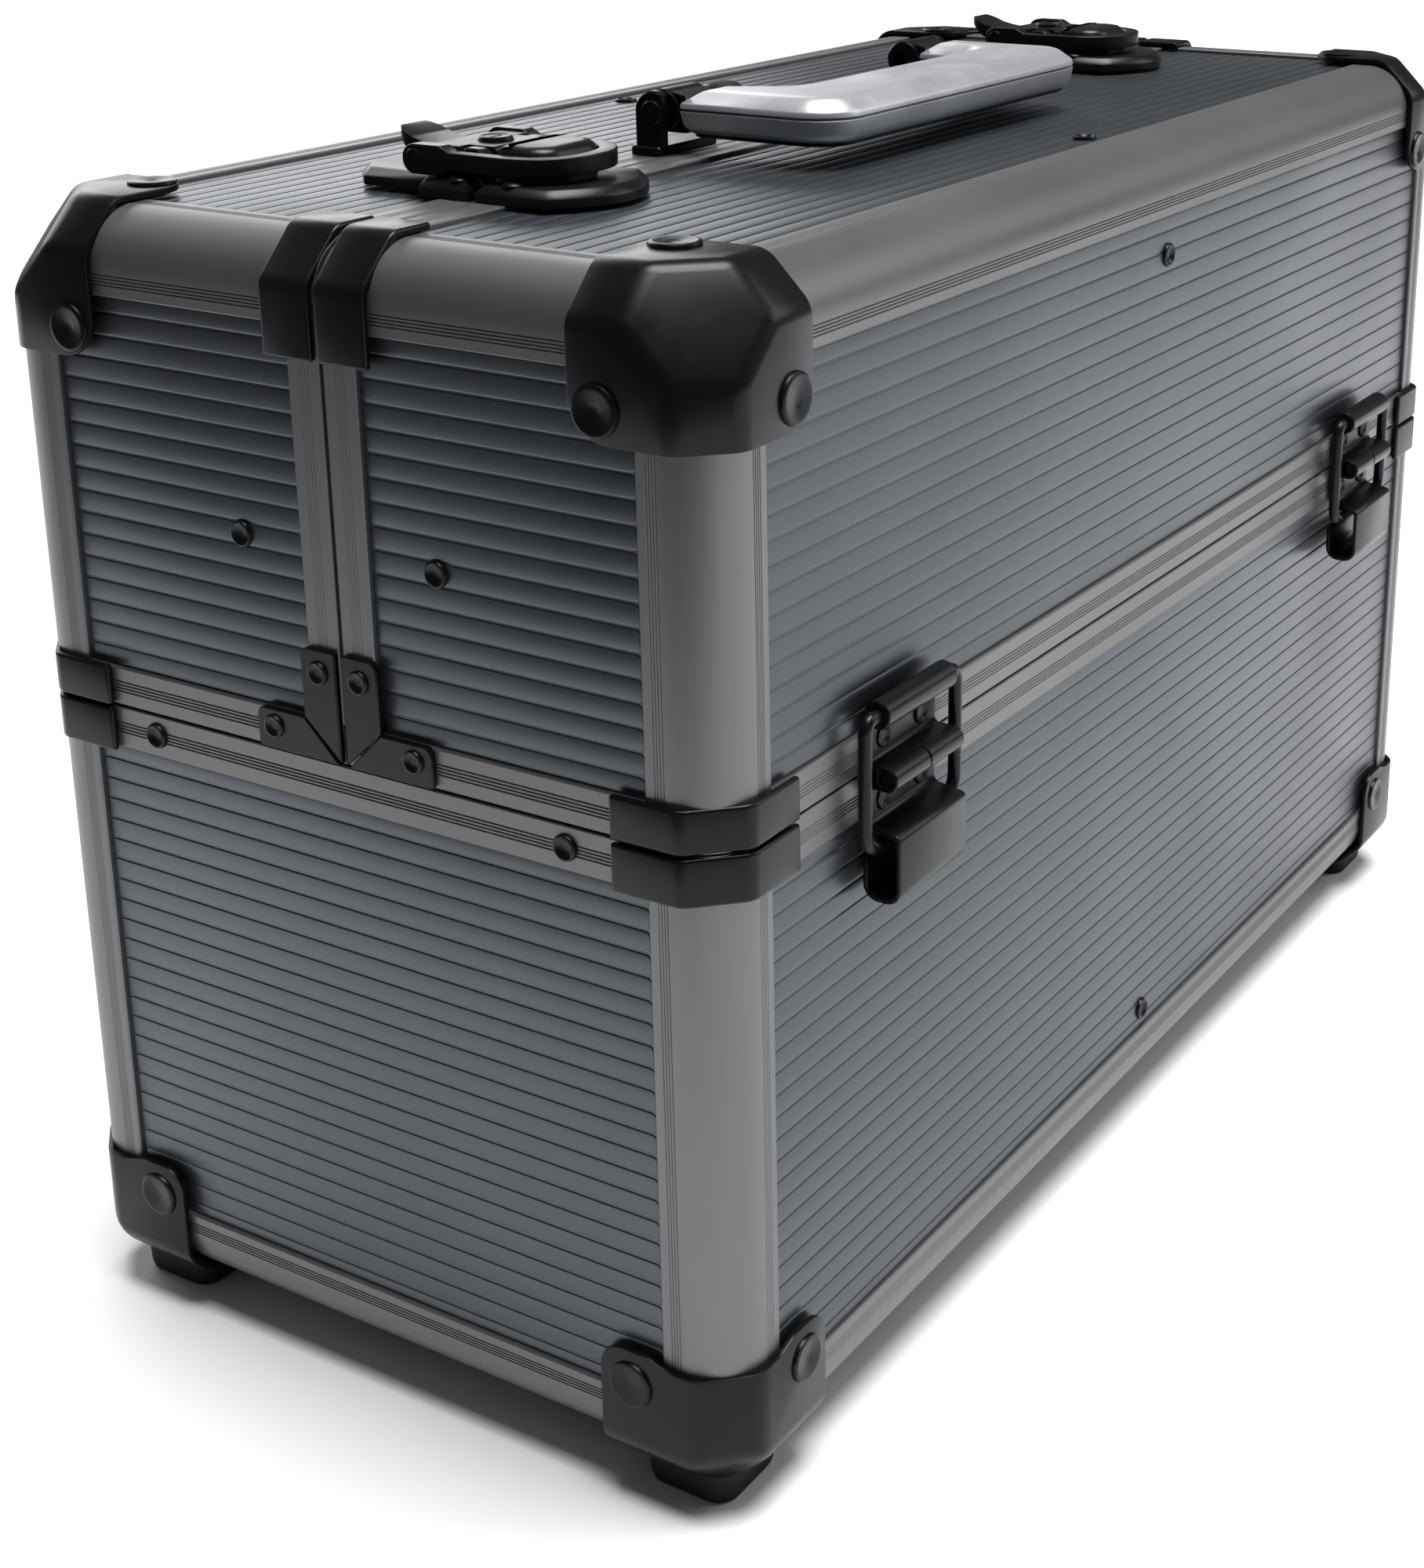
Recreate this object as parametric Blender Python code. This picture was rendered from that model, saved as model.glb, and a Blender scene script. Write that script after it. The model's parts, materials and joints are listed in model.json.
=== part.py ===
"""Art supply box: a framed case whose lid is split in two, with a lift-out tray linked to each half.

The base stands on four feet. Each half of the lid swings outward on two offset hinges, and carries
a tray that a pair of arms keeps level. Two draw latches and a swing handle are on top.
X runs along the box, -Y is its front, +Z is up. The origin is at the middle of the footprint,
on the ground. Sizes are in millimetres and become metres when a mesh is built.
"""

import math

import bmesh
import bpy
from mathutils import Matrix, Vector

MM = 0.001

# Overall box, without feet and fittings
HALF_LENGTH = 196.0
HALF_DEPTH = 93.0
FRAME_HEIGHT = 254.0
FOOT_HEIGHT = 9.0
BOTTOM = FOOT_HEIGHT
TOP = BOTTOM + FRAME_HEIGHT
SEAM = BOTTOM + 144.2  # where the lid meets the base, and the height of the hinge axis
SEAM_GAP = 0.25
SPLIT_GAP = 0.5  # half of the gap between the two lids

# Edge extrusions and the panels held in them
EDGE_RADIUS = 12.5
FLANGE = 17.5
FRAME_WALL = 2.8
FIT = 0.3
PANEL_INSET = 1.0
PANEL_WALL = 2.4
BASE_RIM = 10.0
LID_RIM = 9.1
SPLIT_RAIL = 9.0
ROUND_STEPS = 4

# Corner mouldings
CAP_REACH = 31.0
CAP_SKIN = 1.5
CAP_LOBE = 8.0
BASE_CAP_HIGH = 28.0
BAND_REACH = 25.0
FOOT_SIDE = 22.5
FOOT_X = 178.75
FOOT_Y = 75.25

# Offset stay hinges, on both long sides
HINGE_X = 131.5
HINGE_OUT = 99.0
HINGE_HALF = 14.0
LEAF = 1.2
KNUCKLE_R = 3.4
PIN_R = 1.5
BORE_R = 1.8
ROLL_OUT = 96.8
ROLL_UP = 13.8
ROLL_R = 3.2
POCKET_OUT = 102.4
POCKET_LOW = BOTTOM + 116.5
POCKET_HIGH = BOTTOM + 132.4
BAIL_LENGTH = 29.0
BAIL_HALF = 18.6

# Trays and their parallel links
TRAY_HALF_LENGTH = 183.0
TRAY_NEAR = 4.0
TRAY_FAR = 76.0
TRAY_LOW = BOTTOM + 150.0
TRAY_HIGH = BOTTOM + 190.0
TRAY_WALL = 2.0
LINK = 50.0
BASE_PIVOT = (56.0, BOTTOM + 139.5)
LID_RIVET = (26.0, BOTTOM + 190.3)
STUB_R = 2.5
STUB_BORE = 2.8
LOOSE_BORE = 3.6
ARM_IN = 184.5
ARM_OUT = 187.0
ARM_R = 6.0

# Draw latches on the top
LATCH_X = 130.0
PLATE_T = 3.5
PLATE_LOW = TOP + FIT
PLATE_TOP = PLATE_LOW + PLATE_T
PLATE_HALF = 18.0
LEVER_AXIS = (4.0, TOP + 7.6)
LEVER_HUB = 3.6
LEVER_HALF = 11.5
LEVER_NECK = 8.0
LEVER_TIP = 31.0
LOOP_PIN = (17.0, TOP + 7.5)
LOOP_IN = 12.0
LOOP_OUT = 16.0
LOOP_BACK = 16.0
LOOP_FRONT = 20.0
KEY_Y = 7.5
KEY_R = 3.7

# Swing handle on the back lid, folded over the front one
HANDLE_AXIS = (3.5, TOP + 10.0)
HANDLE_LEFT = -75.0
HANDLE_RIGHT = 51.0
HANDLE_ARM = 15.0
HUB_R = 5.0
EAR_T = 2.7
EAR_GAP = 0.8
GRIP_OUT = 44.5
GRIP_IN = 17.0
GRIP_LOW = TOP + 4.0
GRIP_SEAM = TOP + 10.5
GRIP_TOP = TOP + 15.0
BUMPER = (15.0, 47.0)

COLOURS = {
    "panel": ((0.36, 0.39, 0.43), 0.38, 0.35),
    "frame": ((0.52, 0.50, 0.47), 0.34, 1.0),
    "moulding": ((0.02, 0.02, 0.022), 0.42, 0.0),
    "rubber": ((0.03, 0.03, 0.03), 0.8, 0.0),
    "blackened_steel": ((0.045, 0.045, 0.05), 0.3, 0.8),
    "handle_silver": ((0.62, 0.62, 0.62), 0.3, 0.7),
    "tray_plastic": ((0.1, 0.1, 0.11), 0.5, 0.0),
    "steel": ((0.55, 0.55, 0.56), 0.3, 1.0),
}


def clear_scene():
    for old in list(bpy.data.objects):
        bpy.data.objects.remove(old, do_unlink=True)


# --- solids -----------------------------------------------------------------------------------


def to_object(bm, name="solid"):
    """A linked object from a bmesh in millimetres, with its normals facing out."""
    bmesh.ops.recalc_face_normals(bm, faces=bm.faces)
    bmesh.ops.scale(bm, vec=(MM, MM, MM), verts=bm.verts)
    mesh = bpy.data.meshes.new(name)
    bm.to_mesh(mesh)
    bm.free()
    made = bpy.data.objects.new(name, mesh)
    bpy.context.scene.collection.objects.link(made)
    return made


def cube(low, high):
    """A bmesh box between two corners, given in any order."""
    low, high = (Vector(map(f, low, high)) for f in (min, max))
    bm = bmesh.new()
    bmesh.ops.create_cube(bm, size=1.0)
    size = high - low
    bmesh.ops.scale(bm, vec=size, verts=bm.verts)
    bmesh.ops.translate(bm, vec=(low + high) / 2, verts=bm.verts)
    return bm


def box(low, high, radius=0.0, chosen=None, steps=ROUND_STEPS):
    """A box, with the edges that chosen(middle, direction) picks rounded off."""
    bm = cube(low, high)
    if radius:
        edges = []
        for edge in bm.edges:
            middle = (edge.verts[0].co + edge.verts[1].co) / 2
            along = (edge.verts[1].co - edge.verts[0].co).normalized()
            if chosen(middle, along):
                edges.append(edge)
        bmesh.ops.bevel(
            bm, geom=edges, offset=radius, segments=steps, profile=0.5, affect="EDGES"
        )
    return to_object(bm)


def prism(outline, axis, start, end):
    """An outline drawn across an axis ("X" takes y, z pairs and "Z" takes x, y) and extruded along it."""
    bm = bmesh.new()
    if axis == "X":
        corners = [(start, a, b) for a, b in outline]
        move = Vector((end - start, 0, 0))
    else:
        corners = [(a, b, start) for a, b in outline]
        move = Vector((0, 0, end - start))
    face = bm.faces.new([bm.verts.new(c) for c in corners])
    grown = bmesh.ops.extrude_face_region(bm, geom=[face])
    verts = [v for v in grown["geom"] if isinstance(v, bmesh.types.BMVert)]
    bmesh.ops.translate(bm, vec=move, verts=verts)
    return to_object(bm)


def rod(axis, centre, radius, start, end, sides=16):
    """A round bar along X (centre is y, z) or Z (centre is x, y)."""
    outline = [
        (
            centre[0] + radius * math.cos(2 * math.pi * (i + 0.5) / sides),
            centre[1] + radius * math.sin(2 * math.pi * (i + 0.5) / sides),
        )
        for i in range(sides)
    ]
    return prism(outline, axis, start, end)


def capsule(a, b, radius, steps=6):
    """The outline of a bar with round ends, from a to b."""
    turn = math.atan2(b[1] - a[1], b[0] - a[0])
    points = []
    for centre, first in ((b, turn - math.pi / 2), (a, turn + math.pi / 2)):
        for i in range(steps + 1):
            angle = first + math.pi * i / steps
            points.append(
                (centre[0] + radius * math.cos(angle), centre[1] + radius * math.sin(angle))
            )
    return points


def boolean(target, operation, tools):
    """Combines the tools into the target and removes them."""
    for tool in tools:
        modifier = target.modifiers.new(operation.title(), "BOOLEAN")
        modifier.operation = operation
        modifier.solver = "EXACT"
        modifier.object = tool
    bpy.context.view_layer.update()
    graph = bpy.context.evaluated_depsgraph_get()
    mesh = bpy.data.meshes.new_from_object(target.evaluated_get(graph))
    target.modifiers.clear()
    target.data = mesh
    for tool in tools:
        bpy.data.objects.remove(tool, do_unlink=True)
    return target


def union(target, *tools):
    return boolean(target, "UNION", tools)


def cut(target, *tools):
    return boolean(target, "DIFFERENCE", tools)


def keep(target, tool):
    return boolean(target, "INTERSECT", [tool])


# --- placing ----------------------------------------------------------------------------------


def material(key):
    found = bpy.data.materials.get(key)
    if found:
        return found
    colour, roughness, metallic = COLOURS[key]
    found = bpy.data.materials.new(key)
    found.use_nodes = True
    shader = found.node_tree.nodes["Principled BSDF"]
    shader.inputs["Base Color"].default_value = (*colour, 1.0)
    shader.inputs["Roughness"].default_value = roughness
    shader.inputs["Metallic"].default_value = metallic
    return found


def axis_empty(name, place, parent=None):
    """An empty on a joint's axis. The pieces that turn on that joint hang from it."""
    empty = bpy.data.objects.new(name, None)
    bpy.context.scene.collection.objects.link(empty)
    empty.empty_display_size = 0.02
    hang(empty, place, parent)
    return empty


def world_place(empty):
    place = Vector((0, 0, 0))
    while empty:
        place += empty.location
        empty = empty.parent
    return place


def hang(child, place, parent):
    child.parent = parent
    child.location = Vector(place) * MM - (world_place(parent) if parent else Vector((0, 0, 0)))


def piece(name, made, look, parent, origin=None):
    """Names a finished solid, gives it a material, and hangs it from its body's empty."""
    if origin is None:
        corners = [Vector(c) for c in made.bound_box]
        origin = sum(corners, Vector()) / 8 / MM
    made.data.transform(Matrix.Translation(-Vector(origin) * MM))
    hang(made, origin, parent)
    made.name = name
    made.data.name = name
    made.data.materials.clear()
    made.data.materials.append(material(look))
    made.data.shade_smooth()
    made.data.set_sharp_from_angle(angle=math.radians(35))
    return made


# --- base and lids ----------------------------------------------------------------------------


def base_form(grow, low=BOTTOM, high=SEAM - SEAM_GAP):
    """The base's rounded block, grown outward by a distance: upright and bottom edges are round."""
    floor = low - grow
    return box(
        (-HALF_LENGTH - grow, -HALF_DEPTH - grow, floor),
        (HALF_LENGTH + grow, HALF_DEPTH + grow, high),
        EDGE_RADIUS + grow,
        lambda middle, along: abs(along.z) > 0.9 or abs(middle.z - floor) < 0.01,
    )


def lid_form(side, grow, split=SPLIT_GAP, low=SEAM + SEAM_GAP):
    """One lid's rounded block. side is -1 for the front lid and +1 for the back one."""
    outer = side * (HALF_DEPTH + grow)
    crown = TOP + grow
    inner = side * split

    def chosen(middle, along):
        at_split = abs(middle.y - inner) < 0.01
        upright = abs(along.z) > 0.9
        on_top = abs(middle.z - crown) < 0.01
        return not at_split and (upright or on_top)

    return box(
        (-HALF_LENGTH - grow, outer, low),
        (HALF_LENGTH + grow, inner, crown),
        EDGE_RADIUS + grow,
        chosen,
    )


WINDOW_X = HALF_LENGTH - FLANGE
WINDOW_Y = HALF_DEPTH - FLANGE
THROUGH = 8.0


def base_frame():
    frame = cut(base_form(0.0), base_form(-FRAME_WALL, high=SEAM + 10))
    low, high = BOTTOM + 17.5, SEAM - BASE_RIM
    long_hole = box((-WINDOW_X, -HALF_DEPTH - 9, low), (WINDOW_X, HALF_DEPTH + 9, high))
    end_hole = box((-HALF_LENGTH - 9, -WINDOW_Y, low), (HALF_LENGTH + 9, WINDOW_Y, high))
    floor_hole = box(
        (-WINDOW_X, -WINDOW_Y, BOTTOM - THROUGH), (WINDOW_X, WINDOW_Y, BOTTOM + THROUGH)
    )
    return cut(frame, long_hole, end_hole, floor_hole)


def base_shell():
    inset = FRAME_WALL + FIT
    shell = cut(
        base_form(-inset, high=SEAM - SEAM_GAP - FIT),
        base_form(-inset - PANEL_WALL, high=SEAM + 10),
    )
    low, high = BOTTOM + 17.5 + FIT, SEAM - BASE_RIM - FIT
    x, y = WINDOW_X - FIT, WINDOW_Y - FIT
    pads = []
    for side in (-1, 1):
        face = side * (HALF_DEPTH - PANEL_INSET)
        pads.append(box((-x, face, low), (x, face - side * 4, high)))
        face = side * (HALF_LENGTH - PANEL_INSET)
        pads.append(box((face, -y, low), (face - side * 4, y, high)))
    pads.append(box((-x, -y, BOTTOM + PANEL_INSET), (x, y, BOTTOM + 5)))
    wall = HALF_LENGTH - inset - PANEL_WALL
    for end in (-1, 1):
        for side in (-1, 1):
            centre = (side * BASE_PIVOT[0], BASE_PIVOT[1])
            pads.append(rod("X", centre, STUB_R, end * (ARM_IN - 0.3), end * (wall + 1), 12))
    return union(shell, *pads)


def lid_frame(side):
    frame = cut(lid_form(side, 0.0), lid_form(side, -FRAME_WALL, split=-20, low=SEAM - 20))
    low, high = SEAM + LID_RIM, TOP - FLANGE + 0.5
    near, far = side * SPLIT_RAIL, side * WINDOW_Y
    long_hole = box((-WINDOW_X, side * 60, low), (WINDOW_X, side * 110, high))
    end_hole = box((-HALF_LENGTH - 9, near, low), (HALF_LENGTH + 9, far, high))
    roof_hole = box((-WINDOW_X, near, TOP - THROUGH), (WINDOW_X, far, TOP + THROUGH))
    return cut(frame, long_hole, end_hole, roof_hole)


def hung_pivot():
    """Where a tray hangs in its lid: a link's length from the hinge axis, towards the lid's rivet."""
    reach = Vector((LID_RIVET[0] - HINGE_OUT, LID_RIVET[1] - SEAM)).normalized() * LINK
    return HINGE_OUT + reach.x, SEAM + reach.y


def arm_pivot():
    """Where an arm takes hold of its tray: the same length and direction, from the base's pivot."""
    hung = hung_pivot()
    return BASE_PIVOT[0] + hung[0] - HINGE_OUT, BASE_PIVOT[1] + hung[1] - SEAM


def lid_shell(side):
    inset = FRAME_WALL + FIT
    shell = cut(
        lid_form(side, -inset, split=SPLIT_GAP + FIT, low=SEAM + SEAM_GAP + FIT),
        lid_form(side, -inset - PANEL_WALL, split=-20, low=SEAM - 20),
    )
    low, high = SEAM + LID_RIM + FIT, TOP - FLANGE + 0.5 - FIT
    x = WINDOW_X - FIT
    near, far = side * (SPLIT_RAIL + FIT), side * (WINDOW_Y - FIT)
    face = side * (HALF_DEPTH - PANEL_INSET)
    parts = [
        box((-x, face, low), (x, face - side * 4, high)),
        box((-x, near, TOP - 5), (x, far, TOP - PANEL_INSET)),
    ]
    hung = (side * hung_pivot()[0], hung_pivot()[1])
    rivet = (side * LID_RIVET[0], LID_RIVET[1])
    wall = HALF_LENGTH - inset - PANEL_WALL
    bores = []
    for end in (-1, 1):
        face = end * (HALF_LENGTH - PANEL_INSET)
        parts.append(box((face, near, low), (face - end * 4, far, high)))
        strap = capsule(rivet, hung, ARM_R)
        parts.append(prism(strap, "X", end * (wall - 2.2), end * (wall + 1)))
        bores.append(rod("X", hung, STUB_BORE, end * (wall - 4), end * (wall - 0.2), 12))
    return cut(union(shell, *parts), *bores)


def moulding(form, end, side, low, high, reach, lobe):
    """A corner moulding: the form's skin, grown a little, kept within reach of one corner."""
    outer = form(FIT + CAP_SKIN)
    inner = form(FIT)
    x = end * (HALF_LENGTH - reach)
    y = side * (HALF_DEPTH - reach)
    inward = low if low > SEAM else high
    far = high if low > SEAM else low

    def chosen(middle, along):
        near = [
            abs(middle.x - x) < 0.01,
            abs(middle.y - y) < 0.01,
            abs(middle.z - inward) < 0.01,
        ]
        return sum(near) == 2

    block = box(
        (x, y, inward),
        (end * (HALF_LENGTH + 9), side * (HALF_DEPTH + 9), far),
        lobe,
        chosen,
        3,
    )
    return keep(cut(outer, inner), block)


def band(end, side, low, high, form):
    """A plain corner band on the rim of the base or of a lid."""
    x = end * (HALF_LENGTH - BAND_REACH)
    y = side * (HALF_DEPTH - BAND_REACH)
    block = box((x, y, low), (end * (HALF_LENGTH + 9), side * (HALF_DEPTH + 9), high))
    return keep(cut(form(FIT + CAP_SKIN), form(FIT)), block)


def foot(end, side):
    half = FOOT_SIDE / 2
    centre = Vector((end * FOOT_X, side * FOOT_Y, 0))
    top = BOTTOM - FIT - CAP_SKIN - FIT
    return box(
        centre + Vector((-half, -half, 0)),
        centre + Vector((half, half, top)),
        5.0,
        lambda middle, along: abs(along.z) > 0.9,
        3,
    )


# --- hinges -----------------------------------------------------------------------------------


def lower_leaf(centre, side):
    """The leaf on the base: half of the barrel with the pin, and a pocket for the stay bail."""
    back = side * (HALF_DEPTH + FIT)
    front = side * (HALF_DEPTH + FIT + LEAF)
    out = side * POCKET_OUT
    x0, x1 = centre - HINGE_HALF, centre + HINGE_HALF
    axis = (side * HINGE_OUT, SEAM)
    panel = side * (HALF_DEPTH - PANEL_INSET + FIT)
    leaf = box((x0, back, POCKET_HIGH - LEAF), (x1, front, SEAM - 0.7))
    return union(
        leaf,
        box((x0, back, POCKET_HIGH - LEAF), (x1, out, POCKET_HIGH)),
        box((x0, out - side * LEAF, POCKET_LOW), (x1, out, POCKET_HIGH - 0.01)),
        box((x0, panel, POCKET_LOW), (x1, out - side * 0.01, POCKET_LOW + LEAF)),
        box((centre + 0.2, back, SEAM - 3.3), (x1, axis[0], SEAM - 0.9)),
        rod("X", axis, KNUCKLE_R, centre + 0.2, x1 + 0.01),
        rod("X", axis, PIN_R, x0 + 0.2, centre + 3, 12),
    )


def upper_leaf(centre, side):
    """The leaf on a lid: the other half of the barrel, and the roll that the stay bail hangs in."""
    back = side * (HALF_DEPTH + FIT)
    front = side * (HALF_DEPTH + FIT + LEAF)
    x0, x1 = centre - HINGE_HALF, centre + HINGE_HALF
    axis = (side * HINGE_OUT, SEAM)
    roll = (side * ROLL_OUT, SEAM + ROLL_UP)
    leaf = box((x0, back, SEAM + 1.3), (x1, front, roll[1]))
    union(
        leaf,
        box((x0, back, SEAM + 0.9), (centre - 0.2, axis[0], SEAM + 3.3)),
        rod("X", axis, KNUCKLE_R, x0 - 0.01, centre - 0.2),
        rod("X", roll, ROLL_R, x0 - 0.01, x1 + 0.01),
    )
    return cut(
        leaf,
        rod("X", axis, BORE_R, x0 - 3, centre + 3, 12),
        rod("X", roll, BORE_R, x0 - 3, x1 + 3, 12),
    )


def bail(centre, side):
    """The stay: a closed wire loop from the roll on the lid down into the base leaf's pocket."""
    y = side * ROLL_OUT
    top = SEAM + ROLL_UP
    low = top - BAIL_LENGTH
    bend = 2.5
    points = []
    for sx, sz in ((1, 1), (-1, 1), (-1, -1), (1, -1)):
        corner = Vector((centre + sx * BAIL_HALF, (top if sz > 0 else low)))
        middle = corner - Vector((sx, sz)) * bend
        first = 0.0 if sx * sz > 0 else math.pi / 2
        first += 0.0 if sz > 0 else math.pi
        for i in range(4):
            angle = first + math.pi / 2 * i / 3
            points.append(middle + bend * Vector((math.cos(angle), math.sin(angle))))
    curve = bpy.data.curves.new("wire", "CURVE")
    curve.dimensions = "3D"
    curve.bevel_depth = PIN_R * MM
    curve.bevel_resolution = 2
    spline = curve.splines.new("POLY")
    spline.points.add(len(points) - 1)
    for point, (x, z) in zip(spline.points, points):
        point.co = (x * MM, y * MM, z * MM, 1.0)
    spline.use_cyclic_u = True
    wire = bpy.data.objects.new("wire", curve)
    bpy.context.scene.collection.objects.link(wire)
    bpy.context.view_layer.update()
    graph = bpy.context.evaluated_depsgraph_get()
    mesh = bpy.data.meshes.new_from_object(wire.evaluated_get(graph))
    bpy.data.objects.remove(wire, do_unlink=True)
    bm = bmesh.new()
    bm.from_mesh(mesh)
    bmesh.ops.scale(bm, vec=(1 / MM, 1 / MM, 1 / MM), verts=bm.verts)
    return to_object(bm)


# --- trays ------------------------------------------------------------------------------------


def tray(side):
    """An open tray with a hanging stub and an arm stub at each end."""
    outer = box(
        (-TRAY_HALF_LENGTH, side * TRAY_NEAR, TRAY_LOW),
        (TRAY_HALF_LENGTH, side * TRAY_FAR, TRAY_HIGH),
        5.0,
        lambda middle, along: abs(along.z) > 0.9,
        3,
    )
    hollow = box(
        (-TRAY_HALF_LENGTH + TRAY_WALL, side * (TRAY_NEAR + TRAY_WALL), TRAY_LOW + TRAY_WALL),
        (TRAY_HALF_LENGTH - TRAY_WALL, side * (TRAY_FAR - TRAY_WALL), TRAY_HIGH + 9),
        3.0,
        lambda middle, along: abs(along.z) > 0.9,
        3,
    )
    wall = HALF_LENGTH - FRAME_WALL - FIT - PANEL_WALL
    stubs = []
    for end in (-1, 1):
        root = end * (TRAY_HALF_LENGTH - 1)
        hung = (side * hung_pivot()[0], hung_pivot()[1])
        held = (side * arm_pivot()[0], arm_pivot()[1])
        stubs.append(rod("X", hung, STUB_R, root, end * (wall - 0.5), 12))
        stubs.append(rod("X", held, STUB_R, root, end * (ARM_OUT + 0.3), 12))
    return union(cut(outer, hollow), *stubs)


def arm(end, side):
    low = (side * BASE_PIVOT[0], BASE_PIVOT[1])
    high = (side * arm_pivot()[0], arm_pivot()[1])
    bar = prism(capsule(low, high, ARM_R), "X", end * ARM_IN, end * ARM_OUT)
    return cut(
        bar,
        rod("X", low, STUB_BORE, end * (ARM_IN - 2), end * (ARM_OUT + 2), 12),
        rod("X", high, LOOSE_BORE, end * (ARM_IN - 2), end * (ARM_OUT + 2), 12),
    )


# --- latches ----------------------------------------------------------------------------------


def nose(half, root, shoulder, tip, steps=8):
    """A plate outline: straight sides from root to shoulder, then an arc that bulges out to tip."""
    points = [(-half, root), (half, root)]
    for i in range(steps + 1):
        x = half - 2 * half * i / steps
        points.append((x, shoulder + (tip - shoulder) * (1 - (x / half) ** 2)))
    return points


def latch_plate(centre):
    """The plate on the back lid, with two ears for the lever's pivot."""
    wide = [(-PLATE_HALF, 0.8), (PLATE_HALF, 0.8), (PLATE_HALF, 15.5), (-PLATE_HALF, 15.5)]
    narrow = nose(12.5, 10.0, 34.5, 42.0)
    plate = prism([(centre + x, y) for x, y in wide], "Z", PLATE_LOW, PLATE_TOP)
    union(plate, prism([(centre + x, y) for x, y in narrow], "Z", PLATE_LOW, PLATE_TOP - 0.01))
    y, z = LEVER_AXIS
    parts = []
    bores = []
    for s in (-1, 1):
        inner, outer = centre + s * (LEVER_NECK + FIT), centre + s * LEVER_HALF
        parts.append(box((inner, 0.81, PLATE_TOP - 1), (outer, y + LEVER_HUB, z)))
        parts.append(rod("X", (y, z), LEVER_HUB, inner, outer))
        bores.append(rod("X", (y, z), BORE_R, inner - s, centre + s * (LEVER_HALF - 0.8), 12))
    union(plate, *parts)
    return cut(plate, *bores)


def lever(centre):
    """The latch lever: a hub between the ears, a body that carries the loop, and a raised tab."""
    y, z = LEVER_AXIS
    low = PLATE_TOP + 0.5
    top = TOP + 11.0
    profile = [
        (y + 4.2, low),
        (LEVER_TIP - 9, low),
        (LEVER_TIP - 1, low + 5.2),
        (LEVER_TIP, low + 7.2),
        (LEVER_TIP - 2, low + 8.6),
        (LEVER_TIP - 9, top),
        (y + 4.2, top),
    ]
    body = prism(profile, "X", centre - LEVER_HALF, centre + LEVER_HALF)
    union(
        body,
        box((centre - LEVER_NECK, y, z - LEVER_HUB + 0.6), (centre + LEVER_NECK, y + 5, top - 0.02)),
        rod("X", (y, z), LEVER_HUB, centre - LEVER_NECK - 0.01, centre + LEVER_NECK + 0.01),
        rod("X", (y, z), PIN_R, centre - LEVER_HALF + 1.2, centre + LEVER_HALF - 1.2, 12),
    )
    return cut(
        body,
        rod("X", LOOP_PIN, BORE_R, centre - 20, centre + 20, 12),
        rod("Z", (centre, KEY_Y), KEY_R + FIT, top - 1.6, top + 4),
    )


def key_plug(centre):
    """The turning plug in the top of the lever, with its slot."""
    top = TOP + 11.0
    plug = rod("Z", (centre, KEY_Y), KEY_R, top - 1.3, top + 0.9)
    slot = box((centre - 2.6, KEY_Y - 0.5, top + 0.1), (centre + 2.6, KEY_Y + 0.5, top + 3))
    return cut(plug, slot)


def loop(centre):
    """The pull loop: two bars, the cross bar that hooks the strike, and its pivot pin."""
    low, high = TOP + 5.5, TOP + 9.5
    y, z = LOOP_PIN
    ring = box(
        (centre - LOOP_OUT, -LOOP_FRONT, low),
        (centre + LOOP_OUT, y + 2.5, high),
        2.0,
        lambda middle, along: abs(along.z) > 0.9,
        3,
    )
    hole = box((centre - LOOP_IN, -LOOP_BACK, low - 3), (centre + LOOP_IN, y + 9, high + 3))
    pin = rod("X", (y, z), PIN_R, centre - LOOP_IN - 1, centre + LOOP_IN + 1, 12)
    return union(cut(ring, hole), pin)


def strike(centre):
    """The plate on the front lid, with the block that the loop pulls on."""
    plate = prism(
        [(centre + x, -y) for x, y in nose(PLATE_HALF, 0.8, 19.0, 28.0)], "Z", PLATE_LOW, PLATE_TOP
    )
    profile = [
        (-1.2, PLATE_TOP - 1),
        (-1.2, TOP + 10.2),
        (-2.4, TOP + 11),
        (-9.5, TOP + 11),
        (-12.4, TOP + 9.8),
        (-13.6, TOP + 7.2),
        (-15.6, TOP + 6.6),
        (-15.6, PLATE_TOP - 1),
    ]
    return union(plate, prism(profile, "X", centre - 10.5, centre + 10.5))


# --- handle -----------------------------------------------------------------------------------


def grip_outline(back):
    """The handle seen from above: two arms reaching back, joined by a grip with round corners."""
    turn = 9.0
    points = [(HANDLE_LEFT, back)]
    for centre_x, first in ((HANDLE_LEFT + turn, math.pi), (HANDLE_RIGHT - turn, 1.5 * math.pi)):
        for i in range(6):
            angle = first + math.pi / 2 * i / 5
            x = centre_x + turn * math.cos(angle)
            points.append((x, -GRIP_OUT + turn + turn * math.sin(angle)))
    points.append((HANDLE_RIGHT, back))
    points.append((HANDLE_RIGHT - HANDLE_ARM, back))
    points.append((HANDLE_RIGHT - HANDLE_ARM, -GRIP_IN + 3))
    points.append((HANDLE_RIGHT - HANDLE_ARM - 4, -GRIP_IN))
    points.append((HANDLE_LEFT + HANDLE_ARM + 9, -GRIP_IN))
    points.append((HANDLE_LEFT + HANDLE_ARM, -GRIP_IN + 6))
    points.append((HANDLE_LEFT + HANDLE_ARM, back))
    return points


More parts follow.
